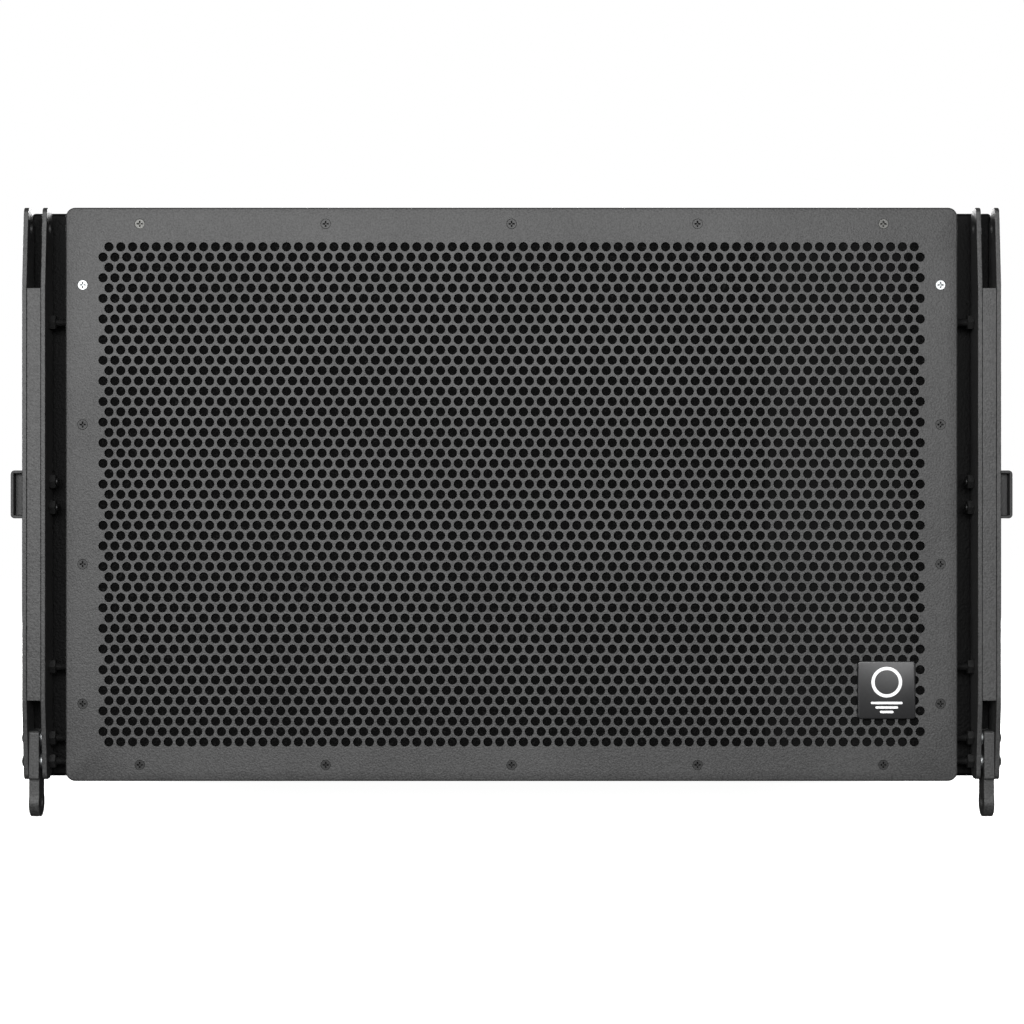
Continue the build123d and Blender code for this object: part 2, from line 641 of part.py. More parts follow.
def hf_drivers():
    """The two compression drivers on the throat plate."""
    start = THROAT_DEPTH + THROAT_PLATE
    plate_back = start + HF_PLATE
    magnet_back = plate_back + HF_MAGNET
    top_back = magnet_back + HF_TOP_PLATE
    throat = THROAT_WIDTH / 2
    pole = HF_COIL_RADIUS - HF_COIL_GAP
    former = HF_COIL_RADIUS + HF_COIL_WALL
    bore = former + HF_COIL_GAP
    poles = [
        (throat, start), (HF_RADIUS, start), (HF_RADIUS, plate_back),
        (pole, plate_back), (pole, top_back), (pole - HF_LIP, top_back),
    ]
    magnet = ring_profile(bore + HF_LIP, HF_RADIUS, plate_back, magnet_back)
    top = ring_profile(bore, HF_RADIUS, magnet_back, top_back)
    end = top_back + HF_COVER
    wall = HF_COVER_WALL
    inside = HF_RADIUS - wall
    rim = [(inside, top_back), (HF_RADIUS, top_back), (HF_RADIUS, end)]
    cover = rim + [(0, end), (0, end - wall), (inside, end - wall)]
    places = [(HF_SIDE, Y_FACE, z) for z in hf_heights()]
    save("hf_pole_pieces", *[turned(poles, *place) for place in places])
    save("hf_magnets", *[turned(magnet, *place) for place in places])
    save("hf_top_plates", *[turned(top, *place) for place in places])
    save("hf_covers", *[turned(cover, *place) for place in places])
    names = ["hf_diaphragm_lower", "hf_diaphragm_upper"]
    for name, place in zip(names, places):
        save(name, Pos(*place) * hf_diaphragm(top_back))


def hf_diaphragm(top_back):
    """A domed diaphragm with its coil former, its edge level with the top plate's back."""
    inner = HF_COIL_RADIUS
    skin = HF_COIL_WALL
    seat = top_back + 3
    tip = top_back - HF_TOP_PLATE
    outer, under = dome(inner + skin, HF_DOME_RISE, skin, seat)
    return revolve(strip([(inner + skin, tip)] + outer, [(inner, tip)] + under), Axis.Y)


def port_side():
    """The ports stand midway between the low driver and the horn."""
    horn_edge = HF_SIDE - MOUTH_WIDTH / 2 - HORN_WALL - HORN_FLANGE_MARGIN
    return (LF_SIDE + LF_FRAME_RADIUS + horn_edge) / 2


def port_heights():
    """The heights of the port tubes."""
    return [Z_MID + PORT_PITCH * (i - (PORT_COUNT - 1) / 2) for i in range(PORT_COUNT)]


def port_tube(z):
    """One moulded port with a flange on the baffle's front."""
    outer = PORT_RADIUS + PORT_WALL
    flange = outer + PORT_FLANGE
    profile = [
        (PORT_RADIUS + 2, -PORT_FLANGE_THICKNESS), (flange, -PORT_FLANGE_THICKNESS), (flange, 0),
        (outer, 0), (outer, PORT_LENGTH), (PORT_RADIUS, PORT_LENGTH), (PORT_RADIUS, 4),
    ]
    return turned(profile, port_side(), Y_BAFFLE, z)


def baffle_screws():
    """The screws that hold the low driver and the horn to the baffle."""
    ring, flange = board_screw_places()
    radius = BAFFLE_SCREW_RADIUS
    lf_front = -LF_GASKET - LF_FLANGE
    screws = []
    for places, front in ((ring, lf_front), (flange, -HORN_FLANGE)):
        tip = front - BAFFLE_SCREW_HEAD
        wide = radius + 2
        profile = [(0, tip), (wide, tip), (wide, front), (radius, front), (radius, PLY), (0, PLY)]
        screws += [turned(profile, x, Y_BAFFLE, z) for x, z in places]
    save("baffle_screws", *screws)


def ear_plate(x0, chamfered):
    """One plate of the front right upright; its far corners are cut straight or rounded."""
    back = Y_FACE + UPRIGHT_DEPTH
    front = Y_FACE + UPRIGHT_SETBACK
    low = Z_BOTTOM + UPRIGHT_RELIEF
    high = Z_TOP + EAR_PROUD
    web = WEB_HEIGHT / 2
    nose = [(front, low), (Y_FACE, Z_MID - web), (Y_FACE, Z_MID + web), (front, high)]
    face = make_face(Polyline(*nose, (back, high), (back, low), close=True))
    front_corners = face.vertices().filter_by(lambda v: v.X < front + 1 and abs(v.Y - Z_MID) > web + 1)
    face = fillet(front_corners, UPRIGHT_CORNER)
    rear_corners = face.vertices().filter_by(lambda v: v.X > back - 0.1)
    face = chamfer(rear_corners, EAR_CORNER) if chamfered else fillet(rear_corners, EAR_CORNER)
    plate = extrude(Plane.YZ.offset(x0) * face, amount=PLATE)
    rims = plate.edges().filter_by(Axis.Z).filter_by(lambda e: e.center().Y < Y_FACE + 0.1)
    return fillet(rims, PLATE_EDGE)


def upright():
    """The front right upright: two plates joined by a web, open at its ends for the links."""
    inner = ear_plate(X_INNER_PLATE, False)
    outer = ear_plate(X_OUTER_PLATE, True)
    half = WEB_HEIGHT / 2
    front = Y_FACE + WEB_SETBACK
    web = block(X_SLOT, X_OUTER_PLATE, front, front + PLATE, Z_MID - half, Z_MID + half)
    channel = inner + outer + web
    hole = BOLT_RADIUS + HOLE_CLEARANCE
    bolts = link_bolt_places() + [Z_MID - RAIL_BOLT_SPREAD, Z_MID + RAIL_BOLT_SPREAD]
    holes = [rod_x(hole, X_INNER_PLATE, X_FRAME, Y_LINK, z) for z in bolts]
    studs = [Z_MID - STUD_SPREAD, Z_MID + STUD_SPREAD]
    keep = [rod_x(NUT_FLATS, X_OUTER_PLATE, X_FRAME, Y_LINK, z) for z in studs]
    ear = rod_x(LINK_HOLE_RADIUS, X_INNER_PLATE, X_FRAME, Y_LINK, Z_EAR)
    return channel - [bore - keep for bore in holes] - ear


def tongue():
    """The front right link tongue: a bar with a round eye at its foot."""
    waist = TONGUE_WAIST
    eye = TONGUE_RADIUS
    top = Z_BOTTOM + TONGUE_RISE
    bar = Pos(Y_LINK, (Z_BOTTOM + top) / 2) * RectangleRounded(2 * eye, top - Z_BOTTOM, 2)
    neck = Pos(Y_LINK, (TONGUE_EYE + Z_BOTTOM + 4) / 2) * Rectangle(2 * waist, Z_BOTTOM + 4 - TONGUE_EYE)
    outline = bar + neck + Pos(Y_LINK, TONGUE_EYE) * Circle(eye)
    solid = extrude(Plane.YZ.offset(X_TONGUE) * outline, amount=TONGUE)
    hole = BOLT_RADIUS + HOLE_CLEARANCE
    bolts = [rod_x(hole, X_TONGUE, X_TONGUE + TONGUE, Y_LINK, z) for z in link_bolt_places()[:2]]
    return solid - bolts - rod_x(LINK_HOLE_RADIUS, X_TONGUE, X_TONGUE + TONGUE, Y_LINK, TONGUE_EYE)


def hex_nut(x0, z):
    """A nut on a bolt of the front right corner."""
    nut = hexagon_x(NUT_FLATS, x0, x0 + NUT_HEIGHT, Y_LINK, z)
    return nut - rod_x(BOLT_RADIUS, x0, x0 + NUT_HEIGHT, Y_LINK, z)


def tongue_bolt(z):
    """A domed bolt from outside the upright, through the tongue, into the cheek."""
    end = insert_end()
    head = rod_x(BOLT_HEAD_RADIUS, X_FRAME, X_FRAME + BOLT_HEAD_HEIGHT, Y_LINK, z)
    rim = head.edges().sort_by(Axis.X)[-1]
    head = fillet(rim, BOLT_HEAD_HEIGHT * 0.7)
    top = X_FRAME + BOLT_HEAD_HEIGHT
    socket = hexagon_x(BOLT_RADIUS * SOCKET_SHARE, top - BOLT_HEAD_HEIGHT / 2, top, Y_LINK, z)
    return head - socket + rod_x(BOLT_RADIUS, end, X_FRAME, Y_LINK, z)


def insert_end():
    """How far in the bolts of the front right corner reach."""
    return X_NOSE - INSERT_LENGTH + INSERT_SPARE


def threaded_insert(z):
    """A blind threaded insert in the nose of the box."""
    sleeve = rod_x(INSERT_RADIUS, X_NOSE - INSERT_LENGTH, X_NOSE, Y_LINK, z)
    return sleeve - rod_x(BOLT_RADIUS, insert_end(), X_NOSE, Y_LINK, z)


def shim(z):
    """A washer that fills the slot on the inner side of the front right tongue."""
    bore = rod_x(BOLT_RADIUS + HOLE_CLEARANCE, X_SLOT, X_TONGUE, Y_LINK, z)
    return rod_x(SHIM_RADIUS, X_SLOT, X_TONGUE, Y_LINK, z) - bore


def link_frame():
    """The uprights, tongues and all their fasteners."""
    names = ["upright_front_right", "upright_front_left", "upright_rear_right", "upright_rear_left"]
    for name, piece in zip(names, at_corners(upright())):
        hole = rod_x(LINK_HOLE_RADIUS, -X_FRAME, X_FRAME, 2 * Y_CENTRE - Y_LINK, Z_MID + PIN_RISE)
        save(name, piece - hole if "rear" in name else piece)
    save("link_tongues", *at_corners(tongue()))
    low, high = link_bolt_places()[:2]
    studs = link_bolt_places()[2:]
    save("tongue_bolts", *at_corners(tongue_bolt(low), tongue_bolt(high)))
    save("tongue_shims", *at_corners(shim(low), shim(high)))
    rods = [rod_x(BOLT_RADIUS, insert_end(), X_SLOT + NUT_HEIGHT, Y_LINK, z) for z in studs]
    save("frame_studs", *at_corners(*rods))
    nuts = [hex_nut(X_INNER_PLATE - NUT_HEIGHT, z) for z in (low, high, *studs)]
    nuts += [hex_nut(X_SLOT, z) for z in studs]
    nuts += [hex_nut(X_INNER_PLATE - NUT_HEIGHT, Z_MID + side * RAIL_BOLT_SPREAD) for side in (-1, 1)]
    save("frame_nuts", *at_corners(*nuts))
    save("threaded_inserts", *at_corners(*[threaded_insert(z) for z in (low, high, *studs)]))


def rails():
    """The two channel rails that tie each side's uprights and serve as carry handles."""
    low = Z_MID - RAIL_HEIGHT / 2
    high = Z_MID + RAIL_HEIGHT / 2
    front = Y_FACE + RAIL_SETBACK
    bar = block(X_FRAME, X_RAIL, front, 2 * Y_CENTRE - front, low, high)
    corners = bar.edges().filter_by(Axis.Y).filter_by(lambda e: e.center().X > X_RAIL - 0.1)
    bar = fillet(corners, RAIL_CORNER)
    wall = RAIL_WALL
    bar = bar - block(X_FRAME, X_RAIL - wall, front, 2 * Y_CENTRE - front, low + wall, high - wall)
    heights = [Z_MID - RAIL_BOLT_SPREAD, Z_MID + RAIL_BOLT_SPREAD]
    bolts = at_corners(*[rail_bolt(z) for z in heights])
    reach = BOLT_RADIUS + HOLE_CLEARANCE
    mouth = RAIL_BOLT_HEAD + HOLE_CLEARANCE
    sink = [(X_RAIL, 0), (X_RAIL, mouth), (X_RAIL - mouth + reach, reach), (X_FRAME, reach), (X_FRAME, 0)]
    sinks = at_corners(*[turned_x(sink, Y_LINK, z) for z in heights])
    bar = bar - sinks
    save("rail_right", bar)
    save("rail_left", mirror(bar, about=Plane.YZ))
    half = RAIL_SPACER_LENGTH / 2
    spacer = block(X_FRAME, X_RAIL - wall, Y_LINK - half, Y_LINK + half, low + wall, high - wall)
    save("rail_spacers", *[piece - sinks for piece in at_corners(spacer)])
    save("rail_bolts", *bolts)


def rail_bolt(z):
    """A countersunk bolt through rail, spacer and upright."""
    head = RAIL_BOLT_HEAD
    end = X_INNER_PLATE - NUT_HEIGHT - 2
    taper = X_RAIL - (head - BOLT_RADIUS)
    profile = [(X_RAIL, 0), (X_RAIL, head), (taper, BOLT_RADIUS), (end, BOLT_RADIUS), (end, 0)]
    socket = hexagon_x(BOLT_RADIUS * SOCKET_SHARE, X_RAIL - RAIL_WALL, X_RAIL, Y_LINK, z)
    return turned_x(profile, Y_LINK, z) - socket


def hand_hold():
    """The moulded cup in the side board behind the right rail."""
    return cup_outline(CUP_DEPTH, 0) - cup_outline(CUP_DEPTH - CUP_WALL, CUP_WALL)


def lock_pin():
    """The right parked pin's body: a shank and a waisted handle, bored for button and spindle."""
    fit = LINK_HOLE_RADIUS - PIN_FIT
    tip = X_FRAME - PIN_SHANK
    end = X_FRAME + PIN_HANDLE_LENGTH
    big = PIN_HANDLE_RADIUS
    waist = big - PIN_WAIST
    bore = SPINDLE_RADIUS + BUTTON_FIT
    well = BUTTON_RADIUS + BUTTON_FIT
    step = PIN_GRIP_STEP
    shank = [(tip, bore), (tip, fit - 1), (tip + 1, fit), (X_FRAME, fit), (X_FRAME, big)]
    grip = [(X_FRAME + 2 * step, big), (X_FRAME + 3 * step, waist), (end - 2 * step, waist)]
    rim = [(end - step, big), (end, big), (end, well), (spring_seat(), well), (spring_seat(), bore)]
    return turned_x(shank + grip + rim, pin_depth(), Z_MID + PIN_RISE)


def pin_depth():
    """The parked pins' place along Y, in the rear uprights."""
    return 2 * Y_CENTRE - Y_LINK


def spring_seat():
    """Where the right pin's return spring rests inside its handle."""
    return X_FRAME + PIN_HANDLE_LENGTH + BUTTON_PROUD - BUTTON_CAP - SPRING_LENGTH


def pin_button():
    """The right pin's push button with the spindle that frees its locking balls."""
    end = X_FRAME + PIN_HANDLE_LENGTH + BUTTON_PROUD
    cap = end - BUTTON_CAP
    tip = X_FRAME - PIN_SHANK + BUTTON_TRAVEL
    radius = BUTTON_RADIUS
    spindle = [(tip, 0), (tip, SPINDLE_RADIUS), (cap, SPINDLE_RADIUS), (cap, radius)]
    top = [(end - 1, radius), (end, radius - 1), (end, 0)]
    return turned_x(spindle + top, pin_depth(), Z_MID + PIN_RISE)


def pin_spring():
    """The right pin's return spring, as the sleeve that its wire fills."""
    inner = SPINDLE_RADIUS + BUTTON_FIT
    outer = inner + SPRING_WALL
    start = spring_seat()
    finish = start + SPRING_LENGTH
    profile = [(start, inner), (start, outer), (finish, outer), (finish, inner)]
    return turned_x(profile, pin_depth(), Z_MID + PIN_RISE)


def input_screw_places():
    """The (x, z) centres of the input panel's corner screws."""
    half_w = INPUT_WIDTH / 2 - INPUT_MARGIN / 2
    half_h = INPUT_HEIGHT / 2 - INPUT_MARGIN / 2
    return [(x, Z_MID + z) for x in (-half_w, half_w) for z in (-half_h, half_h)]


def input_panel():
    """The recessed panel with its two round sockets, and the crossover board inside."""
    front = Y_REAR_BOARD + PLY
    back = front + INPUT_SHEET
    outline = Pos(0, Z_MID) * RectangleRounded(INPUT_WIDTH, INPUT_HEIGHT, 6)
    panel = front_slab(outline, front, back)
    sides = [-SOCKET_SPREAD, SOCKET_SPREAD]
    holes = [rod_y(SOCKET_BARREL_RADIUS + HOLE_CLEARANCE, front, back, x, Z_MID) for x in sides]
    screw_holes = [rod_y(SCREW_RADIUS + HOLE_CLEARANCE, front, back, x, z) for x, z in input_screw_places()]
    save("input_plate", panel - holes - screw_holes)
    for name, x in zip(("speaker_socket_in", "speaker_socket_link"), sides):
        save(name, speaker_socket(x, back))
    tip = front - PLY + 2
    wide = SCREW_HEAD_RADIUS
    shank = [(0, tip), (SCREW_RADIUS, tip), (SCREW_RADIUS, back), (wide, back)]
    head = [(wide, back + SCREW_HEAD_HEIGHT * 0.7), (0, back + SCREW_HEAD_HEIGHT)]
    save("input_screws", *[turned(shank + head, x, 0, z) for x, z in input_screw_places()])
    save("crossover_board", *crossover())


def crossover():
    """The crossover board on its feet, with two coils and three capacitors."""
    floor = Z_INSIDE_LOW + BOARD_STANDOFF
    start = Y_FACE + BRACE_DEPTH - BOARD_DEPTH - 20
    half = BOARD_WIDTH / 2
    end = start + BOARD_DEPTH
    board = block(-half, half, start, end, floor, floor + BOARD_SHEET)
    foot = BOARD_FOOT
    corners = [(x, y) for x in (-half, half - foot) for y in (start, end - foot)]
    feet = [block(x, x + foot, y, y + foot, Z_INSIDE_LOW, floor) for x, y in corners]
    middle = (start + end) / 2
    top = floor + BOARD_SHEET
    ring = Cylinder(CHOKE_RADIUS, CHOKE_HEIGHT) - Cylinder(CHOKE_RADIUS / 2, CHOKE_HEIGHT)
    spread = half * 0.6
    chokes = [Pos(x, middle, top + CHOKE_HEIGHT / 2) * ring for x in (-spread, spread)]
    drum = Rot(0, 90, 0) * Cylinder(CAPACITOR_RADIUS, CAPACITOR_LENGTH)
    pitch = BOARD_DEPTH * 0.3
    capacitors = [Pos(0, middle + step * pitch, top + CAPACITOR_RADIUS) * drum for step in (-1, 0, 1)]
    return [board, *feet, *chokes, *capacitors]


def speaker_socket(x, back):
    """A round locking socket with a square flange, its barrel reaching into the box."""
    face = back + SOCKET_FLANGE_THICKNESS
    flange = front_slab(Pos(x, Z_MID) * RectangleRounded(SOCKET_FLANGE, SOCKET_FLANGE, 4), back, face)
    barrel = rod_y(SOCKET_BARREL_RADIUS, face - SOCKET_LENGTH, face, x, Z_MID)
    bore = rod_y(SOCKET_BORE_RADIUS, face - SOCKET_LENGTH + SOCKET_FLOOR, face, x, Z_MID)
    return flange + barrel - bore


def main():
    """Build every sub-part."""
    os.makedirs("parts", exist_ok=True)
    cabinet(envelope())
    inner_boards()
    grille()
    lf_motor()
    lf_moving_parts()
    save("waveguide", waveguide())
    hf_drivers()
    save("port_tubes", *[port_tube(z) for z in port_heights()])
    baffle_screws()
    link_frame()
    rails()
    makers = {"handle_cup": hand_hold, "pin": lock_pin, "pin_button": pin_button, "pin_spring": pin_spring}
    for name, maker in makers.items():
        right, left = mirrored(maker())
        save(f"{name}_right", right)
        save(f"{name}_left", left)
    input_panel()


main()
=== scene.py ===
# %% [markdown]
# # A two-way line array loudspeaker
#
# This notebook dresses a finished engineering model: a wide wooden box with a perforated
# steel front, flown from four steel link uprights, with a carry rail on each side.
# The model arrives as a fixed frame, in metres: +Z is up, the grille faces -Y, and +X is the
# right-hand side seen from the front. We never move its parts. We give them finishes, and
# where a real surface has more shape than the frame, we make a piece that stands for a part.

# %% Load the frame
import json
import math

import bmesh
import bpy
from mathutils import Matrix, Vector, noise

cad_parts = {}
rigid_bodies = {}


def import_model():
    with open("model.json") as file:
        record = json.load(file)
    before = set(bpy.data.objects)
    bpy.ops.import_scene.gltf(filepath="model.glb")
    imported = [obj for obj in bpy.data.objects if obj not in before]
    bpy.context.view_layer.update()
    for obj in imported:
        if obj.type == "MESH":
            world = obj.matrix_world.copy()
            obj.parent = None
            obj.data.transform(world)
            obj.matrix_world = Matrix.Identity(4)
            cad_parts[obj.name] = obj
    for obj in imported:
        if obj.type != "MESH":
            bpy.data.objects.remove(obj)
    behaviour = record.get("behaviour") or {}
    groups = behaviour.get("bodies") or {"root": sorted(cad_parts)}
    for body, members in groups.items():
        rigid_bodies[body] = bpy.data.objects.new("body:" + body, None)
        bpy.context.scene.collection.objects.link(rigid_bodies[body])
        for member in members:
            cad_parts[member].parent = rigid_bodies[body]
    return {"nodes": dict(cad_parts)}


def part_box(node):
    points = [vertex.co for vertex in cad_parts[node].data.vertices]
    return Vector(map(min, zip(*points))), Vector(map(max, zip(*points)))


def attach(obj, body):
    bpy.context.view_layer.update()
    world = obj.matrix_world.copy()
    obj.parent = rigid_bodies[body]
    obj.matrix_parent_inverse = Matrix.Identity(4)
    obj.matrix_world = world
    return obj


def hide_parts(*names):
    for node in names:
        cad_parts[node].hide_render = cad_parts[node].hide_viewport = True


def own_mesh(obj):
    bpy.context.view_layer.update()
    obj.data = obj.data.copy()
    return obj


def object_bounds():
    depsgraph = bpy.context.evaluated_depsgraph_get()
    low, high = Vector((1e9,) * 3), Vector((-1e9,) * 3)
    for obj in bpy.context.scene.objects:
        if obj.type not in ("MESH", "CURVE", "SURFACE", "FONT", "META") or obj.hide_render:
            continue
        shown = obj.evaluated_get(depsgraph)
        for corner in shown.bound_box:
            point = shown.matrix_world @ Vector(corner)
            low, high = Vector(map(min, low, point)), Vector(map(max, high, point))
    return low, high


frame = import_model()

MM = 0.001
cad_bounds = [[float(v) for v in corner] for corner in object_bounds()]
print("parts in the frame:", len(frame["nodes"]), "from", cad_bounds[0], "to", cad_bounds[1])

# %% [markdown]
# ## Colours and nodes
# A shader works with linear light, but we read colours off a colour card as sRGB hex values,
# so one function turns the one into the other. A second function adds any node to any tree:
# it sets the node's settings, then fills or links its inputs. A third puts an object in the scene.

# %% Helpers: a colour, a node, an object
def linear(code):
    """An sRGB hex colour as linear red, green, blue and alpha."""
    parts = [int(code[i:i + 2], 16) / 255 for i in (1, 3, 5)]
    return [c / 12.92 if c <= 0.04045 else ((c + 0.055) / 1.055) ** 2.4 for c in parts] + [1.0]


def add(tree, kind, settings=None, inputs=None):
    """Add a node to a tree; an input is a value, or the socket of another node."""
    node = tree.nodes.new(kind)
    for key, value in (settings or {}).items():
        setattr(node, key, value)
    for key, value in (inputs or {}).items():
        if isinstance(value, bpy.types.NodeSocket):
            tree.links.new(value, node.inputs[key])
        else:
            node.inputs[key].default_value = value
    return node


def placed(name, data):
    """A new object in the scene that shows a mesh, curve, lamp or camera."""
    thing = bpy.data.objects.new(name, data)
    bpy.context.scene.collection.objects.link(thing)
    return thing


# %% [markdown]
# ## A grained finish
# Powder coat, textured paint, moulded plastic and cast metal have one thing in common: a grain
# of a certain size, which is seen as tiny bumps and as a slight change of tone. So one function
# builds them all. The grain's size is in millimetres, and a noise texture's scale is how many
# grains fit in a metre. The stretch makes the grain long in one direction, as on brushed or
# turned metal. A second, much larger noise keeps big flat faces from looking dead: no coat is
# quite even. Numbers that are the same all over go straight on the shader's own sockets.

# %% A grained finish
def grained(name, dark, light, grain, bump, roughness,
            metallic=0.0, gloss=0.5, stretch=(1, 1, 1), cloud=60.0):
    """A material whose tone and height follow a grain, in millimetres."""
    material = bpy.data.materials.new(name)
    material.use_nodes = True
    tree = material.node_tree
    tree.nodes.clear()
    place = add(tree, "ShaderNodeTexCoord").outputs["Object"]
    drawn = add(tree, "ShaderNodeMapping", {}, {"Vector": place, "Scale": stretch}).outputs["Vector"]
    fine = add(tree, "ShaderNodeTexNoise", {}, {"Vector": drawn, "Scale": 1000 / grain, "Detail": 3.0})
    wide = add(tree, "ShaderNodeTexNoise", {}, {"Vector": place, "Scale": 1000 / cloud, "Detail": 2.0})
    both = add(tree, "ShaderNodeMath", {"operation": "MULTIPLY_ADD"},
               {0: wide.outputs["Fac"], 1: 0.35, 2: fine.outputs["Fac"]}).outputs[0]
    tones = add(tree, "ShaderNodeMapRange", {}, {"Value": both, "From Min": 0.45, "From Max": 0.9})
    colour = add(tree, "ShaderNodeMix", {"data_type": "RGBA"},
                 {"Factor": tones.outputs["Result"], 6: linear(dark), 7: linear(light)})
    height = add(tree, "ShaderNodeBump", {}, {"Height": fine.outputs["Fac"], "Distance": bump * MM})
    sockets = {"Base Color": colour.outputs[2], "Normal": height.outputs["Normal"],
               "Roughness": roughness, "Metallic": metallic, "Specular IOR Level": gloss}
    shader = add(tree, "ShaderNodeBsdfPrincipled", {}, sockets)
    add(tree, "ShaderNodeOutputMaterial", {}, {"Surface": shader.outputs[0]})
    return material


# %% [markdown]
# ## The steel's powder coat
# The grille, uprights, tongues and rails are mild steel, sprayed with a black epoxy-polyester
# powder and baked. The powder melts into a low orange peel with fine pimples. The coat is a dark
# charcoal: the grey we see is mostly the broad, soft sheen of a lamp in it, with a faint sparkle.
# The real pimples are about 0.3 mm across; they are drawn at 1.3 mm, because finer ones would be
# lost at arm's length. The rails get a much darker copy of the same coat: painted shade.

# %% Powder-coated steel
finishes = {}
finishes["grille_steel"] = grained("charcoal powder coat on steel sheet", "#212121", "#474747",
                                   grain=1.3, bump=0.26, roughness=0.5)
finishes["link_steel"] = grained("charcoal powder coat on steel plate", "#252525", "#484848",
                                 grain=1.5, bump=0.24, roughness=0.5)
# Painted shade: the same powder coat as the plates, made much darker, so the rails read as shaded.
finishes["rail_steel"] = grained("charcoal powder coat on rail channel", "#0b0b0b", "#1b1b1b",
                                 grain=1.5, bump=0.16, roughness=0.5)
print("powder coats:", [m.name for m in finishes.values()])

# %% [markdown]
# ## The box's paint
# The wooden box is rolled with a hard water-based paint, nearly black. Its colour here is set darker
# than the paint itself: painted shade, for the narrow recesses where the box shows between the
# grille and the uprights. The roller leaves a stipple of raised drops a millimetre or two wide,
# which breaks every reflection up.

# %% Textured paint
# Painted shade: these tones are darker than the real black paint, so the recesses beside the grille read as
# deep shade.
finishes["cabinet_paint"] = grained("rolled black texture paint on birch ply", "#030303", "#0a0a0a",
                                    grain=2.2, bump=0.6, roughness=0.6, gloss=0.13, cloud=90.0)

# %% [markdown]
# ## Mouldings, castings and metals
# The other plain finishes differ in grain, gloss and metal. Moulded ABS has a fine spark-eroded
# grain. A die-cast frame is coarser. Ferrite is a grey ceramic with a ground face. Zinc plate and
# stainless steel are metals, so their colour is in the reflection, and they keep the default IOR.

# %% Plain finishes, one row each
PLAIN = {
    "black_screw": ("black oxide on screw steel", "#1c1c1c", "#3a3a3a", 0.8, 0.03, 0.42, 0.6),
    # Next row: a bright metal copy of the black screw finish, a painted glint where a lamp's reflection falls
    # on a screw head.
    "bright_screw": ("bright zinc plate on screw steel", "#a4a8a9", "#cfd1d2", 0.8, 0.05, 0.5, 1.0),
    # Next row: a grey copy of the black screw finish, a painted sheen where a softer reflection falls on a
    # screw head.
    "worn_screw": ("rubbed black oxide on screw steel", "#3a3a3a", "#7c7c79", 0.8, 0.06, 0.5, 0.8),
    "badge": ("satin black acrylic lacquer", "#202021", "#262627", 2.0, 0.002, 0.3, 0.0),
    "emblem": ("satin nickel plate", "#dcdcdc", "#f2f2f2", 3.0, 0.001, 0.45, 1.0),
    "cast_basket": ("black coat on die-cast aluminium", "#101011", "#232324", 1.6, 0.3, 0.5, 0.0),
    "ferrite": ("ground ferrite ceramic", "#1d1d20", "#3a3a3d", 0.9, 0.08, 0.6, 0.0),
    "motor_steel": ("zinc-plated low-carbon steel", "#8d8f8c", "#b6b7b2", 1.2, 0.06, 0.34, 1.0),
    "cone_paper": ("black wood-pulp paper", "#0c0c0d", "#242423", 2.4, 0.45, 0.85, 0.0),
    "dust_cap": ("lacquered pulp dome", "#08080a", "#161618", 1.8, 0.15, 0.4, 0.0),
    "gasket": ("closed-cell neoprene", "#0a0a0a", "#1b1b1b", 0.9, 0.2, 0.8, 0.0),
    "horn_plastic": ("spark-grained black ABS", "#0b0b0c", "#1a1a1b", 1.1, 0.12, 0.45, 0.0),
    "port_plastic": ("smooth moulded black ABS", "#0c0c0d", "#18181a", 1.4, 0.06, 0.36, 0.0),
    "driver_cover": ("black anodised aluminium", "#111112", "#222223", 0.9, 0.05, 0.34, 0.6),
    "diaphragm": ("pressed titanium foil", "#8e8d8a", "#b5b3ae", 2.0, 0.05, 0.24, 1.0),
    "cup_plastic": ("spark-grained black polypropylene", "#0a0a0a", "#181818", 1.2, 0.16, 0.5, 0.0),
    "spring": ("drawn spring steel", "#77797a", "#a2a4a5", 0.7, 0.03, 0.3, 1.0),
    "socket": ("glass-filled black nylon", "#0b0b0d", "#1d1d20", 1.0, 0.1, 0.42, 0.0),
    "wadding": ("bonded polyester wadding", "#a9a79f", "#dedcd4", 3.0, 2.4, 0.95, 0.0),
    "circuit": ("green solder mask on glass epoxy", "#0f3b22", "#1c5a36", 1.5, 0.05, 0.35, 0.0),
    "film": ("yellow polyester film", "#b58a22", "#d8ad3d", 5.0, 0.05, 0.3, 0.0),
    "nylon": ("natural nylon", "#cfcabc", "#e6e2d6", 2.0, 0.05, 0.45, 0.0),
}
for slot_name, (title, dark, light, grain, bump, roughness, metallic) in PLAIN.items():
    finishes[slot_name] = grained(title, dark, light, grain, bump, roughness, metallic)
print("plain finishes:", len(PLAIN))

# %% [markdown]
# ## Finishes with a direction
# A turned pin shows fine rings round its axis, so its grain is squeezed along X and long across.
# A brushed panel is the same idea: long scratches along X. The button is dyed aluminium, with the
# rings of its turning under a clear red.

# %% Turned and brushed metal
finishes["pin_steel"] = grained("turned stainless steel", "#8f9193", "#c3c5c6", grain=2.5, bump=0.05,
                                roughness=0.24, metallic=1.0, stretch=(6, 0.6, 0.6))
finishes["pin_button"] = grained("red anodised turned aluminium", "#8c1512", "#c4302a", grain=2.5, bump=0.04,
                                 roughness=0.27, metallic=0.85, stretch=(6, 0.6, 0.6))
finishes["input_panel"] = grained("brushed black anodised aluminium", "#0f0f10", "#2b2b2d",
                                  grain=1.2, bump=0.05,
                                  roughness=0.36, metallic=0.5, stretch=(0.05, 1, 1))
finishes["surround"] = grained("doped pleated cloth", "#0b0b0c", "#1e1e20",
                               grain=1.0, bump=0.2, roughness=0.5)

# %% [markdown]
# ## Windings and weave
# Some surfaces follow a count, not a grain: copper wire lies in turns along the coil's axis, and the
# spider is woven cloth dipped in resin. A wave texture draws the turns. Two waves at right angles,
# multiplied, draw a plain weave. Real threads are 0.4 mm apart; they are drawn at 0.9 mm to be seen.

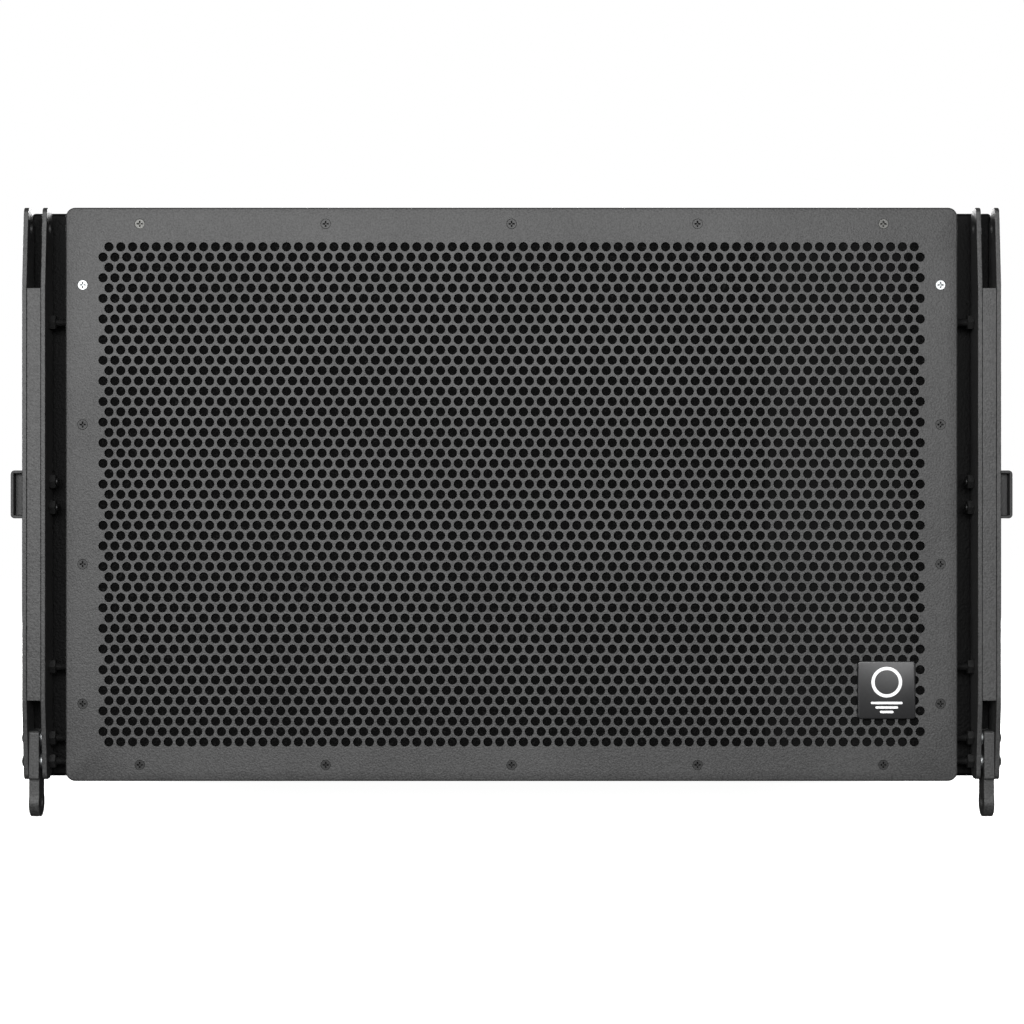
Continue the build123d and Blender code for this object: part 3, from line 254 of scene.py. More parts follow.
# %% Copper turns and resin cloth
def ruled(name, dark, light, spacings, roughness, metallic=0.0, bump=0.1):
    """A material ruled along one or more axes; spacings maps an axis to its spacing in millimetres."""
    material = bpy.data.materials.new(name)
    material.use_nodes = True
    tree = material.node_tree
    tree.nodes.clear()
    place = add(tree, "ShaderNodeTexCoord").outputs["Object"]
    height = None
    for axis, spacing in spacings.items():
        settings = {"bands_direction": axis, "wave_profile": "SIN"}
        wave_scale = 2 * math.pi / 20 * 1000 / spacing
        wave = add(tree, "ShaderNodeTexWave", settings, {"Vector": place, "Scale": wave_scale}).outputs["Fac"]
        if height is not None:
            wave = add(tree, "ShaderNodeMath", {"operation": "MULTIPLY"}, {0: height, 1: wave}).outputs[0]
        height = wave
    colour = add(tree, "ShaderNodeMix", {"data_type": "RGBA"},
                 {"Factor": height, 6: linear(dark), 7: linear(light)})
    relief = add(tree, "ShaderNodeBump", {}, {"Height": height, "Distance": bump * MM})
    sockets = {"Base Color": colour.outputs[2], "Normal": relief.outputs["Normal"],
               "Roughness": roughness, "Metallic": metallic}
    shader = add(tree, "ShaderNodeBsdfPrincipled", {}, sockets)
    add(tree, "ShaderNodeOutputMaterial", {}, {"Surface": shader.outputs[0]})
    return material


finishes["coil"] = ruled("enamelled copper turns", "#5f2c14", "#c27443", {"Y": 0.9}, 0.3, metallic=0.9)
finishes["choke"] = ruled("enamelled copper choke winding", "#5f2c14", "#c27443",
                          {"Z": 1.4}, 0.3, metallic=0.9)
finishes["spider"] = ruled("resin-dipped woven cloth", "#6d4a1c", "#b98a45", {"X": 0.9, "Z": 0.9}, 0.6)
print("ruled finishes:", finishes["coil"].name, "and", finishes["spider"].name)

# %% [markdown]
# ## Birch plywood
# Inside, the boards are left bare. Birch ply is pale, with long faint figure on its faces and dark
# glue lines 1.4 mm apart on its cut edges. The boards here stand upright, facing the front, so the
# plies are sliced along Y, and the figure runs along X.

# %% Bare plywood
ply = grained("bare birch plywood", "#b98f5e", "#dcbb8c",
              grain=9.0, bump=0.12, roughness=0.6, stretch=(0.08, 1, 1))
tree = ply.node_tree
shader = next(n for n in tree.nodes if n.type == "BSDF_PRINCIPLED")
figure = shader.inputs["Base Color"].links[0].from_socket
along = add(tree, "ShaderNodeTexCoord").outputs["Object"]
plies = add(tree, "ShaderNodeTexWave", {"bands_direction": "Y"},
            {"Vector": along, "Scale": 2 * math.pi / 20 * 1000 / 2.8, "Distortion": 0.6})
edge_on = add(tree, "ShaderNodeSeparateXYZ", {}, {0: add(tree, "ShaderNodeNewGeometry").outputs["Normal"]})
facing = add(tree, "ShaderNodeMath", {"operation": "ABSOLUTE"}, {0: edge_on.outputs["Y"]})
on_edge = add(tree, "ShaderNodeMapRange", {}, {"Value": facing.outputs[0], "From Min": 0.5, "From Max": 0.0})
dark_ply = add(tree, "ShaderNodeMath", {"operation": "MULTIPLY"},
               {0: plies.outputs["Fac"], 1: on_edge.outputs["Result"]})
wood = add(tree, "ShaderNodeMix", {"data_type": "RGBA"},
           {"Factor": dark_ply.outputs[0], 6: figure, 7: linear("#7a5630")})
tree.links.new(wood.outputs[2], shader.inputs["Base Color"])
finishes["bare_plywood"] = ply

# %% [markdown]
# ## The foam behind the grille
# A sheet of open-cell polyurethane foam keeps dust and rain out. It is near black and full of
# little bright-rimmed cells, drawn with a Voronoi texture at 2.2 mm. In front of the horn the
# foam is painted paler in a strip with a straight edge, as wide as the horn's mouth: painted
# light, standing in for the light that falls through the holes onto the horn behind.

# %% Open-cell foam
foam = bpy.data.materials.new("open-cell polyurethane foam")
foam.use_nodes = True
tree = foam.node_tree
tree.nodes.clear()
place = add(tree, "ShaderNodeTexCoord").outputs["Object"]
cells = add(tree, "ShaderNodeTexVoronoi", {"feature": "DISTANCE_TO_EDGE"},
            {"Vector": place, "Scale": 1000 / 2.2})
rims = add(tree, "ShaderNodeMapRange", {},
           {"Value": cells.outputs["Distance"], "From Min": 0.12, "From Max": 0.0})
# From here the foam's colour carries painted light: a paler strip as wide as the horn's mouth, standing in
# for light that falls through the holes onto the horn behind.
horn_low, horn_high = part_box("waveguide")
HORN_WALL_AND_FLANGE = 12 * MM
across = add(tree, "ShaderNodeSeparateXYZ", {}, {0: place}).outputs["X"]
past = add(tree, "ShaderNodeMath", {"operation": "GREATER_THAN"},
           {0: across, 1: horn_low.x + HORN_WALL_AND_FLANGE})
short_of = add(tree, "ShaderNodeMath", {"operation": "LESS_THAN"},
               {0: across, 1: horn_high.x - HORN_WALL_AND_FLANGE})
strip = add(tree, "ShaderNodeMath", {"operation": "MULTIPLY"}, {0: past.outputs[0], 1: short_of.outputs[0]})
ground = add(tree, "ShaderNodeMix", {"data_type": "RGBA"},
             {"Factor": strip.outputs[0], 6: linear("#060606"), 7: linear("#121212")})
cell_wall = add(tree, "ShaderNodeMix", {"data_type": "RGBA"},
                {"Factor": rims.outputs["Result"], 6: ground.outputs[2], 7: linear("#1c1c1c")})
dents = add(tree, "ShaderNodeBump", {"invert": True},
            {"Height": rims.outputs["Result"], "Distance": 0.5 * MM})
shader = add(tree, "ShaderNodeBsdfPrincipled", {},
             {"Base Color": cell_wall.outputs[2], "Normal": dents.outputs["Normal"], "Roughness": 0.95,
              "Specular IOR Level": 0.1})
add(tree, "ShaderNodeOutputMaterial", {}, {"Surface": shader.outputs[0]})
finishes["foam"] = foam

# %% [markdown]
# ## Put the finishes on the frame
# Each part of the frame came with one material slot, named for its finish. We look that name up.

# %% Dress every part of the frame
for node in frame["nodes"].values():
    for place in node.material_slots:
        place.material = finishes[place.material.name.split(".")[0]]
print("parts dressed:", len(frame["nodes"]))

# %% [markdown]
# ## Pieces that stand for parts
# A new piece is a plain mesh whose object sits at the origin, like the frame's own parts. It rides
# on a body, so that it moves with it, it hides the part it stands for, and it takes the finish it
# is given. All of that is one small function.

# %% A piece for a part
def body_of(node_name):
    """The body that a part of the frame rides on."""
    return frame["nodes"][node_name].parent.name.split(":")[1]


def stand_in(name, mesh, nodes, finish=None):
    """Make a piece of a mesh that stands for parts of the frame."""
    if finish is not None:
        mesh.materials.clear()
        mesh.materials.append(finish)
    mesh.name = name
    piece = placed(name, mesh)
    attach(piece, body_of(nodes[0]))
    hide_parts(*nodes)
    print(name, "has", len(mesh.polygons), "faces")
    return piece


def smooth(mesh, angle=40):
    """Shade a mesh smooth, with a crease wherever it turns by more than an angle."""
    mesh.shade_smooth()
    mesh.set_sharp_from_angle(angle=math.radians(angle))
    return mesh


def merged(node_name):
    """A part's surface as one closed mesh: its loose triangles joined, its flat faces whole."""
    shape = bmesh.new()
    shape.from_mesh(frame["nodes"][node_name].data)
    bmesh.ops.remove_doubles(shape, verts=shape.verts, dist=0.002 * MM)
    bmesh.ops.dissolve_limit(shape, angle_limit=math.radians(0.3), verts=shape.verts, edges=shape.edges)
    return shape


def solids(node_name):
    """The lowest and highest corners of each separate solid of a part."""
    shape = merged(node_name)
    unseen = set(shape.verts)
    boxes = []
    while unseen:
        front = [unseen.pop()]
        corners = []
        while front:
            vertex = front.pop()
            corners.append(vertex.co.copy())
            beside = {edge.other_vert(vertex) for edge in vertex.link_edges} & unseen
            unseen -= beside
            front.extend(beside)
        low = Vector([min(c[i] for c in corners) for i in range(3)])
        high = Vector([max(c[i] for c in corners) for i in range(3)])
        boxes.append((low, high))
    shape.free()
    return sorted(boxes, key=lambda pair: tuple(round(v, 6) for v in pair[0]))


screws = solids("grille_screws")
print("grille screws:", len(screws))

# %% [markdown]
# ## Softened edges
# No real edge is perfectly sharp: plate is deburred, and powder coat gathers on the corner and
# rounds it, which draws a thin light line along every edge. A Bevel modifier does that for all
# the steel plates at once, and a Weighted Normal modifier keeps the big faces flat. The result is
# taken as a plain mesh and both modifiers go.

# %% Bevel the plates
def applied(piece):
    """The plain mesh that an object's modifiers give; the object is then thrown away."""
    bpy.context.view_layer.update()
    graph = bpy.context.evaluated_depsgraph_get()
    mesh = bpy.data.meshes.new_from_object(piece.evaluated_get(graph), depsgraph=graph)
    bpy.data.objects.remove(piece)
    return mesh


def softened(node_name, width, segments=2):
    """A part's mesh with its sharp edges rounded by a width in millimetres."""
    shape = merged(node_name)
    mesh = bpy.data.meshes.new(node_name)
    shape.to_mesh(mesh)
    shape.free()
    if "custom_normal" in mesh.attributes:
        mesh.attributes.remove(mesh.attributes["custom_normal"])
    mesh.shade_smooth()
    piece = placed(node_name, mesh)
    bevel = piece.modifiers.new("Round edges", "BEVEL")
    bevel.width = width * MM
    bevel.segments = segments
    bevel.limit_method = "ANGLE"
    bevel.angle_limit = math.radians(38)
    bevel.use_clamp_overlap = False
    flat = piece.modifiers.new("Flat faces", "WEIGHTED_NORMAL")
    flat.keep_sharp = True
    return applied(piece)


SOFTENED = {
    "upright_front_right": 0.5, "upright_front_left": 0.5,
    "upright_rear_right": 0.5, "upright_rear_left": 0.5,
    "link_tongues": 0.6, "rail_right": 0.35, "rail_left": 0.35, "rail_spacers": 0.4,
    "input_plate": 0.3, "handle_cup_right": 1.0, "handle_cup_left": 1.0,
}
for node_name, width in SOFTENED.items():
    slot_name = frame["nodes"][node_name].data.materials[0].name
    slot_name = next(key for key, value in finishes.items() if value.name == slot_name)
    mesh = softened(node_name, width)
    stand_in(node_name + "_edged", mesh, [node_name], finishes[slot_name])

# %% [markdown]
# ## The perforated sheet
# The grille is a 2 mm steel sheet with 3405 punched holes, 7.24 mm wide, in rows that are staggered
# like a honeycomb: 9 mm from hole to hole along a row, and 7.84 mm from row to row. Short rows of
# 69 holes take turns with long rows of 70. Modelling each hole by hand is out of the question,
# and cutting them with booleans is slow. But the sheet follows a rule, so Geometry Nodes make it:
# one flat strip is filled round a row's circles, which is quick, and copied for every second row.
# A margin is filled between the field of strips and the sheet's outline, and the circles' own
# edges are pulled back to make the walls of the holes.
# First, plain code makes what is not repeated: the sheet's rounded rim, and the countersunk holes
# of the screws. It is drawn lying down, with the sheet's front at zero height.

# %% The sheet's rim and screw holes
SHEET = 2.0 * MM
RIM_ROUND = 1.4 * MM
RIM_CORNER = 7.2 * MM
SINK_MOUTH = 4.0 * MM
SINK_HOLE = 2.2 * MM
SINK_DEPTH = 1.8 * MM
panel_low, panel_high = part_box("grille_panel")
panel_centre = (panel_low + panel_high) / 2


def rounded_loop(half_width, half_height, radius, height, steps=8):
    """Points round a rectangle with round corners, at one height."""
    points = []
    for turn, (sx, sy) in enumerate(((1, 1), (-1, 1), (-1, -1), (1, -1))):
        for step in range(steps + 1):
            angle = math.pi / 2 * (turn + step / steps)
            x = sx * (half_width - radius) + radius * math.cos(angle)
            y = sy * (half_height - radius) + radius * math.sin(angle)
            points.append(Vector((x, y, height)))
    return points


def round_loop(radius, height, centre=(0, 0), steps=16):
    """Points round a circle, at one height."""
    turns = [2 * math.pi * step / steps for step in range(steps)]
    across, down = centre
    return [Vector((across + radius * math.cos(a), down + radius * math.sin(a), height)) for a in turns]


def join_loops(shape, loops):
    """Join rings of points, one after the other, with a band of faces."""
    rings = [[shape.verts.new(point) for point in loop] for loop in loops]
    for one, two in zip(rings, rings[1:]):
        for i in range(len(one)):
            j = (i + 1) % len(one)
            shape.faces.new((one[i], one[j], two[j], two[i]))
    return rings


rim = bmesh.new()
half_width = (panel_high.x - panel_low.x) / 2
half_height = (panel_high.z - panel_low.z) / 2
loops = []
for step in range(5):
    angle = math.pi / 2 * step / 4
    inset = RIM_ROUND * (1 - math.sin(angle))
    drop = RIM_ROUND * (1 - math.cos(angle))
    loops.append(rounded_loop(half_width - inset, half_height - inset, RIM_CORNER - inset, -drop))
loops.append(rounded_loop(half_width, half_height, RIM_CORNER, -SHEET))
join_loops(rim, loops)
for low, high in screws:
    centre = ((low.x + high.x) / 2 - panel_centre.x, (low.z + high.z) / 2 - panel_centre.z)
    sink = [(SINK_MOUTH, 0.0), (SINK_HOLE, -SINK_DEPTH), (SINK_HOLE, -SHEET)]
    join_loops(rim, [round_loop(radius, height, centre) for radius, height in sink])
rim_mesh = bpy.data.meshes.new("sheet_rim")
rim.to_mesh(rim_mesh)
rim.free()
print("rim and screw holes:", len(rim_mesh.polygons), "faces")

# %% [markdown]
# Now the tree. Its inputs have names and real sizes, so the pattern can be changed without
# touching the nodes. The boundary edges of the rim are found by counting faces: an edge with one
# face is on a border, and its height says whether it belongs to the sheet's front or its back.

# %% The perforating tree
def interface(tree, inputs):
    """Give a tree its geometry sockets and named inputs; return the group's input node."""
    tree.interface.new_socket(name="Geometry", in_out="OUTPUT", socket_type="NodeSocketGeometry")
    tree.interface.new_socket(name="Geometry", in_out="INPUT", socket_type="NodeSocketGeometry")
    for name, kind in inputs.items():
        tree.interface.new_socket(name=name, in_out="INPUT", socket_type="NodeSocket" + kind)
    return add(tree, "NodeGroupInput").outputs


def run_tree(piece, tree, values):
    """Run a tree on an object with values for its named inputs, and return the plain mesh."""
    modifier = piece.modifiers.new(tree.name, "NODES")
    modifier.node_group = tree
    for item in tree.interface.items_tree:
        if item.in_out == "INPUT" and item.name in values:
            modifier[item.identifier] = values[item.name]
    return applied(piece)


perforate = bpy.data.node_groups.new("Perforated sheet", "GeometryNodeTree")
given = interface(perforate, {"Hole Radius": "Float", "Pitch": "Float", "Row Pitch": "Float",
                              "Thickness": "Float", "Short Row": "Int", "Short Rows": "Int",
                              "Sides": "Int", "Place": "Vector", "Finish": "Material"})


def maths(operation, one, two):
    """The result of a sum of two values."""
    return add(perforate, "ShaderNodeMath", {"operation": operation}, {0: one, 1: two}).outputs[0]


def along_axis(axis, value):
    """A step of a value along X, Y or Z."""
    return add(perforate, "ShaderNodeCombineXYZ", {}, {axis: value}).outputs[0]


def row_line(count, step, axis):
    """Points in a line through the middle, along X or Y."""
    first = maths("MULTIPLY", maths("MULTIPLY", maths("SUBTRACT", 1.0, count), step), 0.5)
    settings = {"Count": count, "Start Location": along_axis(axis, first), "Offset": along_axis(axis, step)}
    return add(perforate, "GeometryNodeMeshLine", {}, settings).outputs[0]


def outline(mesh, also=None):
    """The border of a mesh as curves: its edges that have one face, and that pass another test."""
    chosen = on_border.outputs["Result"]
    if also is not None:
        chosen = add(perforate, "FunctionNodeBooleanMath", {"operation": "AND"},
                     {0: chosen, 1: also}).outputs[0]
    return add(perforate, "GeometryNodeMeshToCurve", {}, {"Mesh": mesh, "Selection": chosen}).outputs[0]


def joined(*parts):
    """Several geometries as one."""
    node = add(perforate, "GeometryNodeJoinGeometry")
    for part in parts:
        perforate.links.new(part, node.inputs[0])
    return node.outputs[0]


def on_points(points, thing):
    """Real copies of a thing on points."""
    copies = add(perforate, "GeometryNodeInstanceOnPoints", {}, {"Points": points, "Instance": thing})
    return add(perforate, "GeometryNodeRealizeInstances", {}, {0: copies.outputs[0]}).outputs[0]


def strips(holes, rows):
    """Every second row of the field: one flat strip with its holes, filled once and then copied."""
    ribbon = add(perforate, "GeometryNodeMeshGrid", {},
                 {"Size X": field_wide, "Size Y": given["Row Pitch"], "Vertices X": columns, "Vertices Y": 2})
    ring = on_points(row_line(holes, given["Pitch"], "X"), circle)
    strip = add(perforate, "GeometryNodeFillCurve", {}, {0: joined(outline(ribbon.outputs["Mesh"]), ring)})
    return on_points(row_line(rows, double_row, "Y"), strip.outputs[0])


def margin(back):
    """The flat face between the field and the border on one side of the sheet."""
    test = "LESS_THAN" if back else "GREATER_THAN"
    side = add(perforate, "FunctionNodeCompare", {"operation": test}, {0: height, 1: middle})
    curves = joined(outline(given["Geometry"], side.outputs["Result"]), outline(field_frame))
    return add(perforate, "GeometryNodeFillCurve", {}, {0: curves}).outputs["Mesh"]


border_faces = add(perforate, "GeometryNodeInputMeshEdgeNeighbors").outputs["Face Count"]
on_border = add(perforate, "FunctionNodeCompare", {"data_type": "INT", "operation": "EQUAL"},
                {2: border_faces, 3: 1})
height = add(perforate, "ShaderNodeSeparateXYZ", {},
             {0: add(perforate, "GeometryNodeInputPosition").outputs[0]}).outputs["Z"]
middle = maths("MULTIPLY", given["Thickness"], -0.5)
backward = along_axis("Z", maths("MULTIPLY", given["Thickness"], -1.0))

long_row = maths("ADD", given["Short Row"], 1.0)
long_rows = maths("ADD", given["Short Rows"], -1.0)
all_rows = maths("ADD", given["Short Rows"], long_rows)
columns = maths("ADD", long_row, 2.0)
rows_of_corners = maths("ADD", all_rows, 1.0)
field_wide = maths("MULTIPLY", maths("ADD", long_row, 1.0), given["Pitch"])
field_tall = maths("MULTIPLY", all_rows, given["Row Pitch"])
double_row = maths("MULTIPLY", given["Row Pitch"], 2.0)
circle = add(perforate, "GeometryNodeCurvePrimitiveCircle", {},
             {"Resolution": given["Sides"], "Radius": given["Hole Radius"]}).outputs[0]
field_frame = add(perforate, "GeometryNodeMeshGrid", {},
                  {"Size X": field_wide, "Size Y": field_tall, "Vertices X": columns,
                   "Vertices Y": rows_of_corners}).outputs["Mesh"]
field = joined(strips(given["Short Row"], given["Short Rows"]), strips(long_row, long_rows))
centres = joined(*[on_points(row_line(rows, double_row, "Y"), row_line(holes, given["Pitch"], "X"))
                   for holes, rows in ((given["Short Row"], given["Short Rows"]), (long_row, long_rows))])
circles = on_points(centres, circle)
wires = add(perforate, "GeometryNodeCurveToMesh", {}, {"Curve": circles}).outputs[0]
walls = add(perforate, "GeometryNodeExtrudeMesh", {"mode": "EDGES"},
            {"Mesh": wires, "Offset": backward, "Offset Scale": 1.0}).outputs["Mesh"]
back_face = add(perforate, "GeometryNodeTransform", {},
                {0: joined(margin(True), field), "Translation": backward}).outputs[0]
sheet = joined(given["Geometry"], margin(False), field, back_face, walls)
sewn = add(perforate, "GeometryNodeMergeByDistance", {}, {"Geometry": sheet, "Distance": 0.01 * MM})
upright = add(perforate, "GeometryNodeTransform", {},
              {0: sewn.outputs[0], "Translation": given["Place"], "Rotation": (math.pi / 2, 0, 0)})
whole = add(perforate, "GeometryNodeRealizeInstances", {}, {0: upright.outputs[0]})
coated = add(perforate, "GeometryNodeSetMaterial", {}, {0: whole.outputs[0], "Material": given["Finish"]})
add(perforate, "NodeGroupOutput", {}, {0: coated.outputs[0]})
print("perforating tree:", len(perforate.nodes), "nodes")

# %% Punch the holes
HOLE_RADIUS = 3.62 * MM
HOLE_PITCH = 9.0 * MM
ROW_PITCH = 7.838 * MM
sheet_object = placed("grille_sheet", rim_mesh)
grille_mesh = run_tree(sheet_object, perforate, {
    "Hole Radius": HOLE_RADIUS, "Pitch": HOLE_PITCH, "Row Pitch": ROW_PITCH, "Thickness": SHEET,
    "Short Row": 69, "Short Rows": 25, "Sides": 12,
    "Place": (panel_centre.x, panel_low.y, panel_centre.z), "Finish": finishes["grille_steel"],
})
shape = bmesh.new()
shape.from_mesh(grille_mesh)
bmesh.ops.recalc_face_normals(shape, faces=shape.faces)
open_edges = sum(1 for edge in shape.edges if not edge.is_manifold)
triangles = sum(len(face.verts) - 2 for face in shape.faces)
shape.to_mesh(grille_mesh)
shape.free()
stand_in("grille_perforated", smooth(grille_mesh, 35), ["grille_panel"])
print("open edges:", open_edges, "triangles:", triangles)

# %% [markdown]
# ## One tree for every fastener
# Screws, nuts and bolts repeat, so each is modelled once, standing upright with the face of its
# head at zero height, and a second tree sets copies of it on points. Each point carries a turn,
# which says which way its copy faces.

# %% The repeating tree
repeat = bpy.data.node_groups.new("Repeated piece", "GeometryNodeTree")
given = interface(repeat, {"Piece": "Object", "Finish": "Material"})
template = add(repeat, "GeometryNodeObjectInfo", {}, {"Object": given["Piece"]}).outputs["Geometry"]
turn = add(repeat, "GeometryNodeInputNamedAttribute", {"data_type": "FLOAT_VECTOR"},
           {"Name": "turn"}).outputs[0]
copies = add(repeat, "GeometryNodeInstanceOnPoints", {},
             {"Points": given["Geometry"], "Instance": template, "Rotation": turn})
real = add(repeat, "GeometryNodeRealizeInstances", {}, {0: copies.outputs[0]})
painted = add(repeat, "GeometryNodeSetMaterial", {}, {0: real.outputs[0], "Material": given["Finish"]})
add(repeat, "NodeGroupOutput", {}, {0: painted.outputs[0]})

FACING = {"front": (math.pi / 2, 0, 0), "back": (-math.pi / 2, 0, 0),
          "right": (0, math.pi / 2, 0), "left": (0, -math.pi / 2, 0)}


def repeated(name, template_mesh, places, finish):
    """Copies of a template mesh at (point, side) places, as one plain mesh."""
    points = bpy.data.meshes.new(name)
    points.from_pydata([tuple(point) for point, _ in places], [], [])
    turns = points.attributes.new("turn", "FLOAT_VECTOR", "POINT")
    for i, (_, side) in enumerate(places):
        turns.data[i].vector = FACING[side]
    carrier = placed(name, points)
    pattern = placed(name + "_pattern", template_mesh)
    mesh = run_tree(carrier, repeat, {"Piece": pattern, "Finish": finish})
    bpy.data.objects.remove(pattern)
    return smooth(mesh, 32)


# %% [markdown]
# ## Templates, turned like on a lathe
# Most fasteners are turned, but their recesses are not round: a hexagon for a key, a cross for a
# screwdriver. So a template is lofted through rows of (radius, height, outline), where the outline
# is round, a hexagon or a cross. With 24 steps round, the corners of the hexagon and of the cross
# both fall on a step, so both come out crisp.

# %% The template maker
ROUND, HEX, CROSS = 0, 1, 2
CROSS_ARM = math.tan(math.radians(15))


def reach(radius, angle, outline):
    """How far an outline is from the axis at an angle."""
    if outline == HEX:
        return radius / math.cos((angle + math.pi / 6) % (math.pi / 3) - math.pi / 6)
    if outline == CROSS:
        c = max(abs(math.cos(angle)), 1e-9)
        s = max(abs(math.sin(angle)), 1e-9)
        arm = radius * CROSS_ARM
        return max(min(radius / c, arm / s), min(arm / c, radius / s))
    return radius


def template_mesh(name, rows, steps=24):
    """A closed mesh lofted through rows of (radius, height, outline), in millimetres."""
    shape = bmesh.new()
    loops = []
    for radius, height, outline in rows:
        turns = [2 * math.pi * (step + 0.0) / steps for step in range(steps)]
        loops.append([Vector((reach(radius, a, outline) * math.cos(a) * MM,
                              reach(radius, a, outline) * math.sin(a) * MM, height * MM)) for a in turns])
    join_loops(shape, loops)
    bmesh.ops.remove_doubles(shape, verts=shape.verts, dist=0.001 * MM)
    bmesh.ops.recalc_face_normals(shape, faces=shape.faces)
    mesh = bpy.data.meshes.new(name)
    shape.to_mesh(mesh)
    shape.free()
    return mesh


def thread(radius, start, end, pitch=1.0, depth=0.5):
    """Rows of a screw thread between two heights, drawn as close rings."""
    count = max(int((start - end) / pitch), 1)
    rows = []
    for i in range(count):
        rows.append((radius, start - pitch * i, ROUND))
        rows.append((radius - depth, start - pitch * (i + 0.5), ROUND))
    return rows + [(radius, start - pitch * count, ROUND), (radius, end, ROUND)]


# %% [markdown]
# ## Grille screws
# Eighteen countersunk cross-head screws hold the grille, all in black oxide. The two upper side
# screws get a bright metal finish as a painted glint, and the top row's end screws a grey finish
# as a painted sheen: both stand in for a lamp's reflection in their heads.

# %% Set the grille screws
cross_screw = template_mesh("cross_screw", [
    (0, -1.5, ROUND), (0.9, -1.45, CROSS), (2.25, -0.25, CROSS), (2.35, -0.12, CROSS), (3.55, -0.1, ROUND),
    (3.8, -0.3, ROUND), (2.0, -1.9, ROUND), (2.0, -18.0, ROUND), (0, -20.0, ROUND),
], steps=24)
ROW_LEVELS = sorted({round((low.z + high.z) / 2, 4) for low, high in screws})
COLUMNS = sorted({round((low.x + high.x) / 2, 4) for low, high in screws})
groups = {"black_screw": [], "bright_screw": [], "worn_screw": []}
for low, high in screws:
    middle_point = (low + high) / 2
    place = (Vector((middle_point.x, low.y, middle_point.z)), "front")
    # The screws picked out here get the painted glint and painted sheen finishes, by where a lamp's
    # reflection falls on them.
    on_side = abs(middle_point.x) > COLUMNS[-1] - 0.01
    upper_side = on_side and middle_point.z > ROW_LEVELS[-2] - 0.01
    top_end = middle_point.z > ROW_LEVELS[-1] - 0.01 and abs(middle_point.x) > COLUMNS[-2] - 0.01
    key = "bright_screw" if upper_side else "worn_screw" if top_end else "black_screw"
    groups[key].append(place)
for key, places in groups.items():
    mesh = repeated("grille_" + key, cross_screw, places, finishes[key])
    slot_name = "bright_screw" if key == "bright_screw" else "black_screw"
    stand_in(f"grille_{key}s", mesh, ["grille_screws"])

# %% [markdown]
# ## Nuts, studs and bolts of the link frame
# The uprights stand off from the nose of the box on M6 studs and bolts, so threads and nuts are
# seen in the gap. A nut is a hexagon turned down to a cone at both faces: that cut gives its
# curved chamfers. The links' bolts have low domed heads with a hexagon socket.

# %% Nuts
NUT_FLATS = 10.0
NUT_HEIGHT = 5.0
NUT_BORE = 3.0
flat = NUT_FLATS / 2


def nut_template():
    """A hexagon nut with coned corners and a plain bore."""
    shape = bmesh.new()
    steps = 36
    turns = [2 * math.pi * step / steps for step in range(steps)]
    corner = [(reach(flat, a, HEX) - flat) * math.tan(math.radians(30)) for a in turns]
    levels = [
        [(NUT_BORE, 0.0)] * steps,
        [(flat * 0.97, 0.0)] * steps,
        [(reach(flat, a, HEX), -c - 0.15) for a, c in zip(turns, corner)],
        [(reach(flat, a, HEX), c + 0.15 - NUT_HEIGHT) for a, c in zip(turns, corner)],
        [(flat * 0.97, -NUT_HEIGHT)] * steps,
        [(NUT_BORE, -NUT_HEIGHT)] * steps,
        [(NUT_BORE, 0.0)] * steps,
    ]
    loops = [[Vector((r * math.cos(a), r * math.sin(a), z)) * MM for a, (r, z) in zip(turns, level)]
             for level in levels]
    join_loops(shape, loops)
    bmesh.ops.remove_doubles(shape, verts=shape.verts, dist=0.001 * MM)
    bmesh.ops.recalc_face_normals(shape, faces=shape.faces)
    mesh = bpy.data.meshes.new("nut")
    shape.to_mesh(mesh)
    shape.free()
    return mesh


def outward(low, high):
    """The outer end of a fastener that lies along X, and the side that it faces."""
    centre = (low + high) / 2
    if centre.x > 0:
        return (Vector((high.x, centre.y, centre.z)), "right")
    return (Vector((low.x, centre.y, centre.z)), "left")


nut_places = [outward(low, high) for low, high in solids("frame_nuts")]
mesh = repeated("nuts", nut_template(), nut_places, finishes["black_screw"])
stand_in("frame_nuts_chamfered", mesh, ["frame_nuts"])

# %% Studs and bolts
def length_of(node_name):
    """The length along X of a part's fasteners, in millimetres."""
    low, high = solids(node_name)[0]
    return (high.x - low.x) / MM


stud_end = -length_of("frame_studs")
stud_rows = [(0, 0, ROUND), (2.4, 0, ROUND)] + thread(3.0, -0.6, stud_end + 1) + [(0, stud_end, ROUND)]
bolt_end = -length_of("tongue_bolts")
bolt_rows = [
    (0, -1.7, ROUND), (1.9, -1.7, HEX), (1.9, -0.2, HEX), (2.6, -0.05, ROUND), (3.5, -0.3, ROUND),
    (4.4, -0.95, ROUND), (5.0, -1.8, ROUND), (5.25, -2.7, ROUND), (5.25, -3.3, ROUND), (3.0, -3.3, ROUND),
] + thread(3.0, -21.0, bolt_end + 1) + [(0, bolt_end, ROUND)]
rail_end = -length_of("rail_bolts")
rail_rows = [
    (0, -2.2, ROUND), (1.9, -2.2, HEX), (1.9, -0.1, HEX), (5.7, 0, ROUND), (6.0, -0.3, ROUND),
    (3.0, -3.2, ROUND),
] + thread(3.0, -15.0, rail_end + 1) + [(0, rail_end, ROUND)]
for node_name, rows in (("frame_studs", stud_rows), ("tongue_bolts", bolt_rows), ("rail_bolts", rail_rows)):
    places = [outward(low, high) for low, high in solids(node_name)]
    mesh = repeated(node_name, template_mesh(node_name, rows, 24), places, finishes["black_screw"])
    stand_in(node_name + "_threaded", mesh, [node_name])

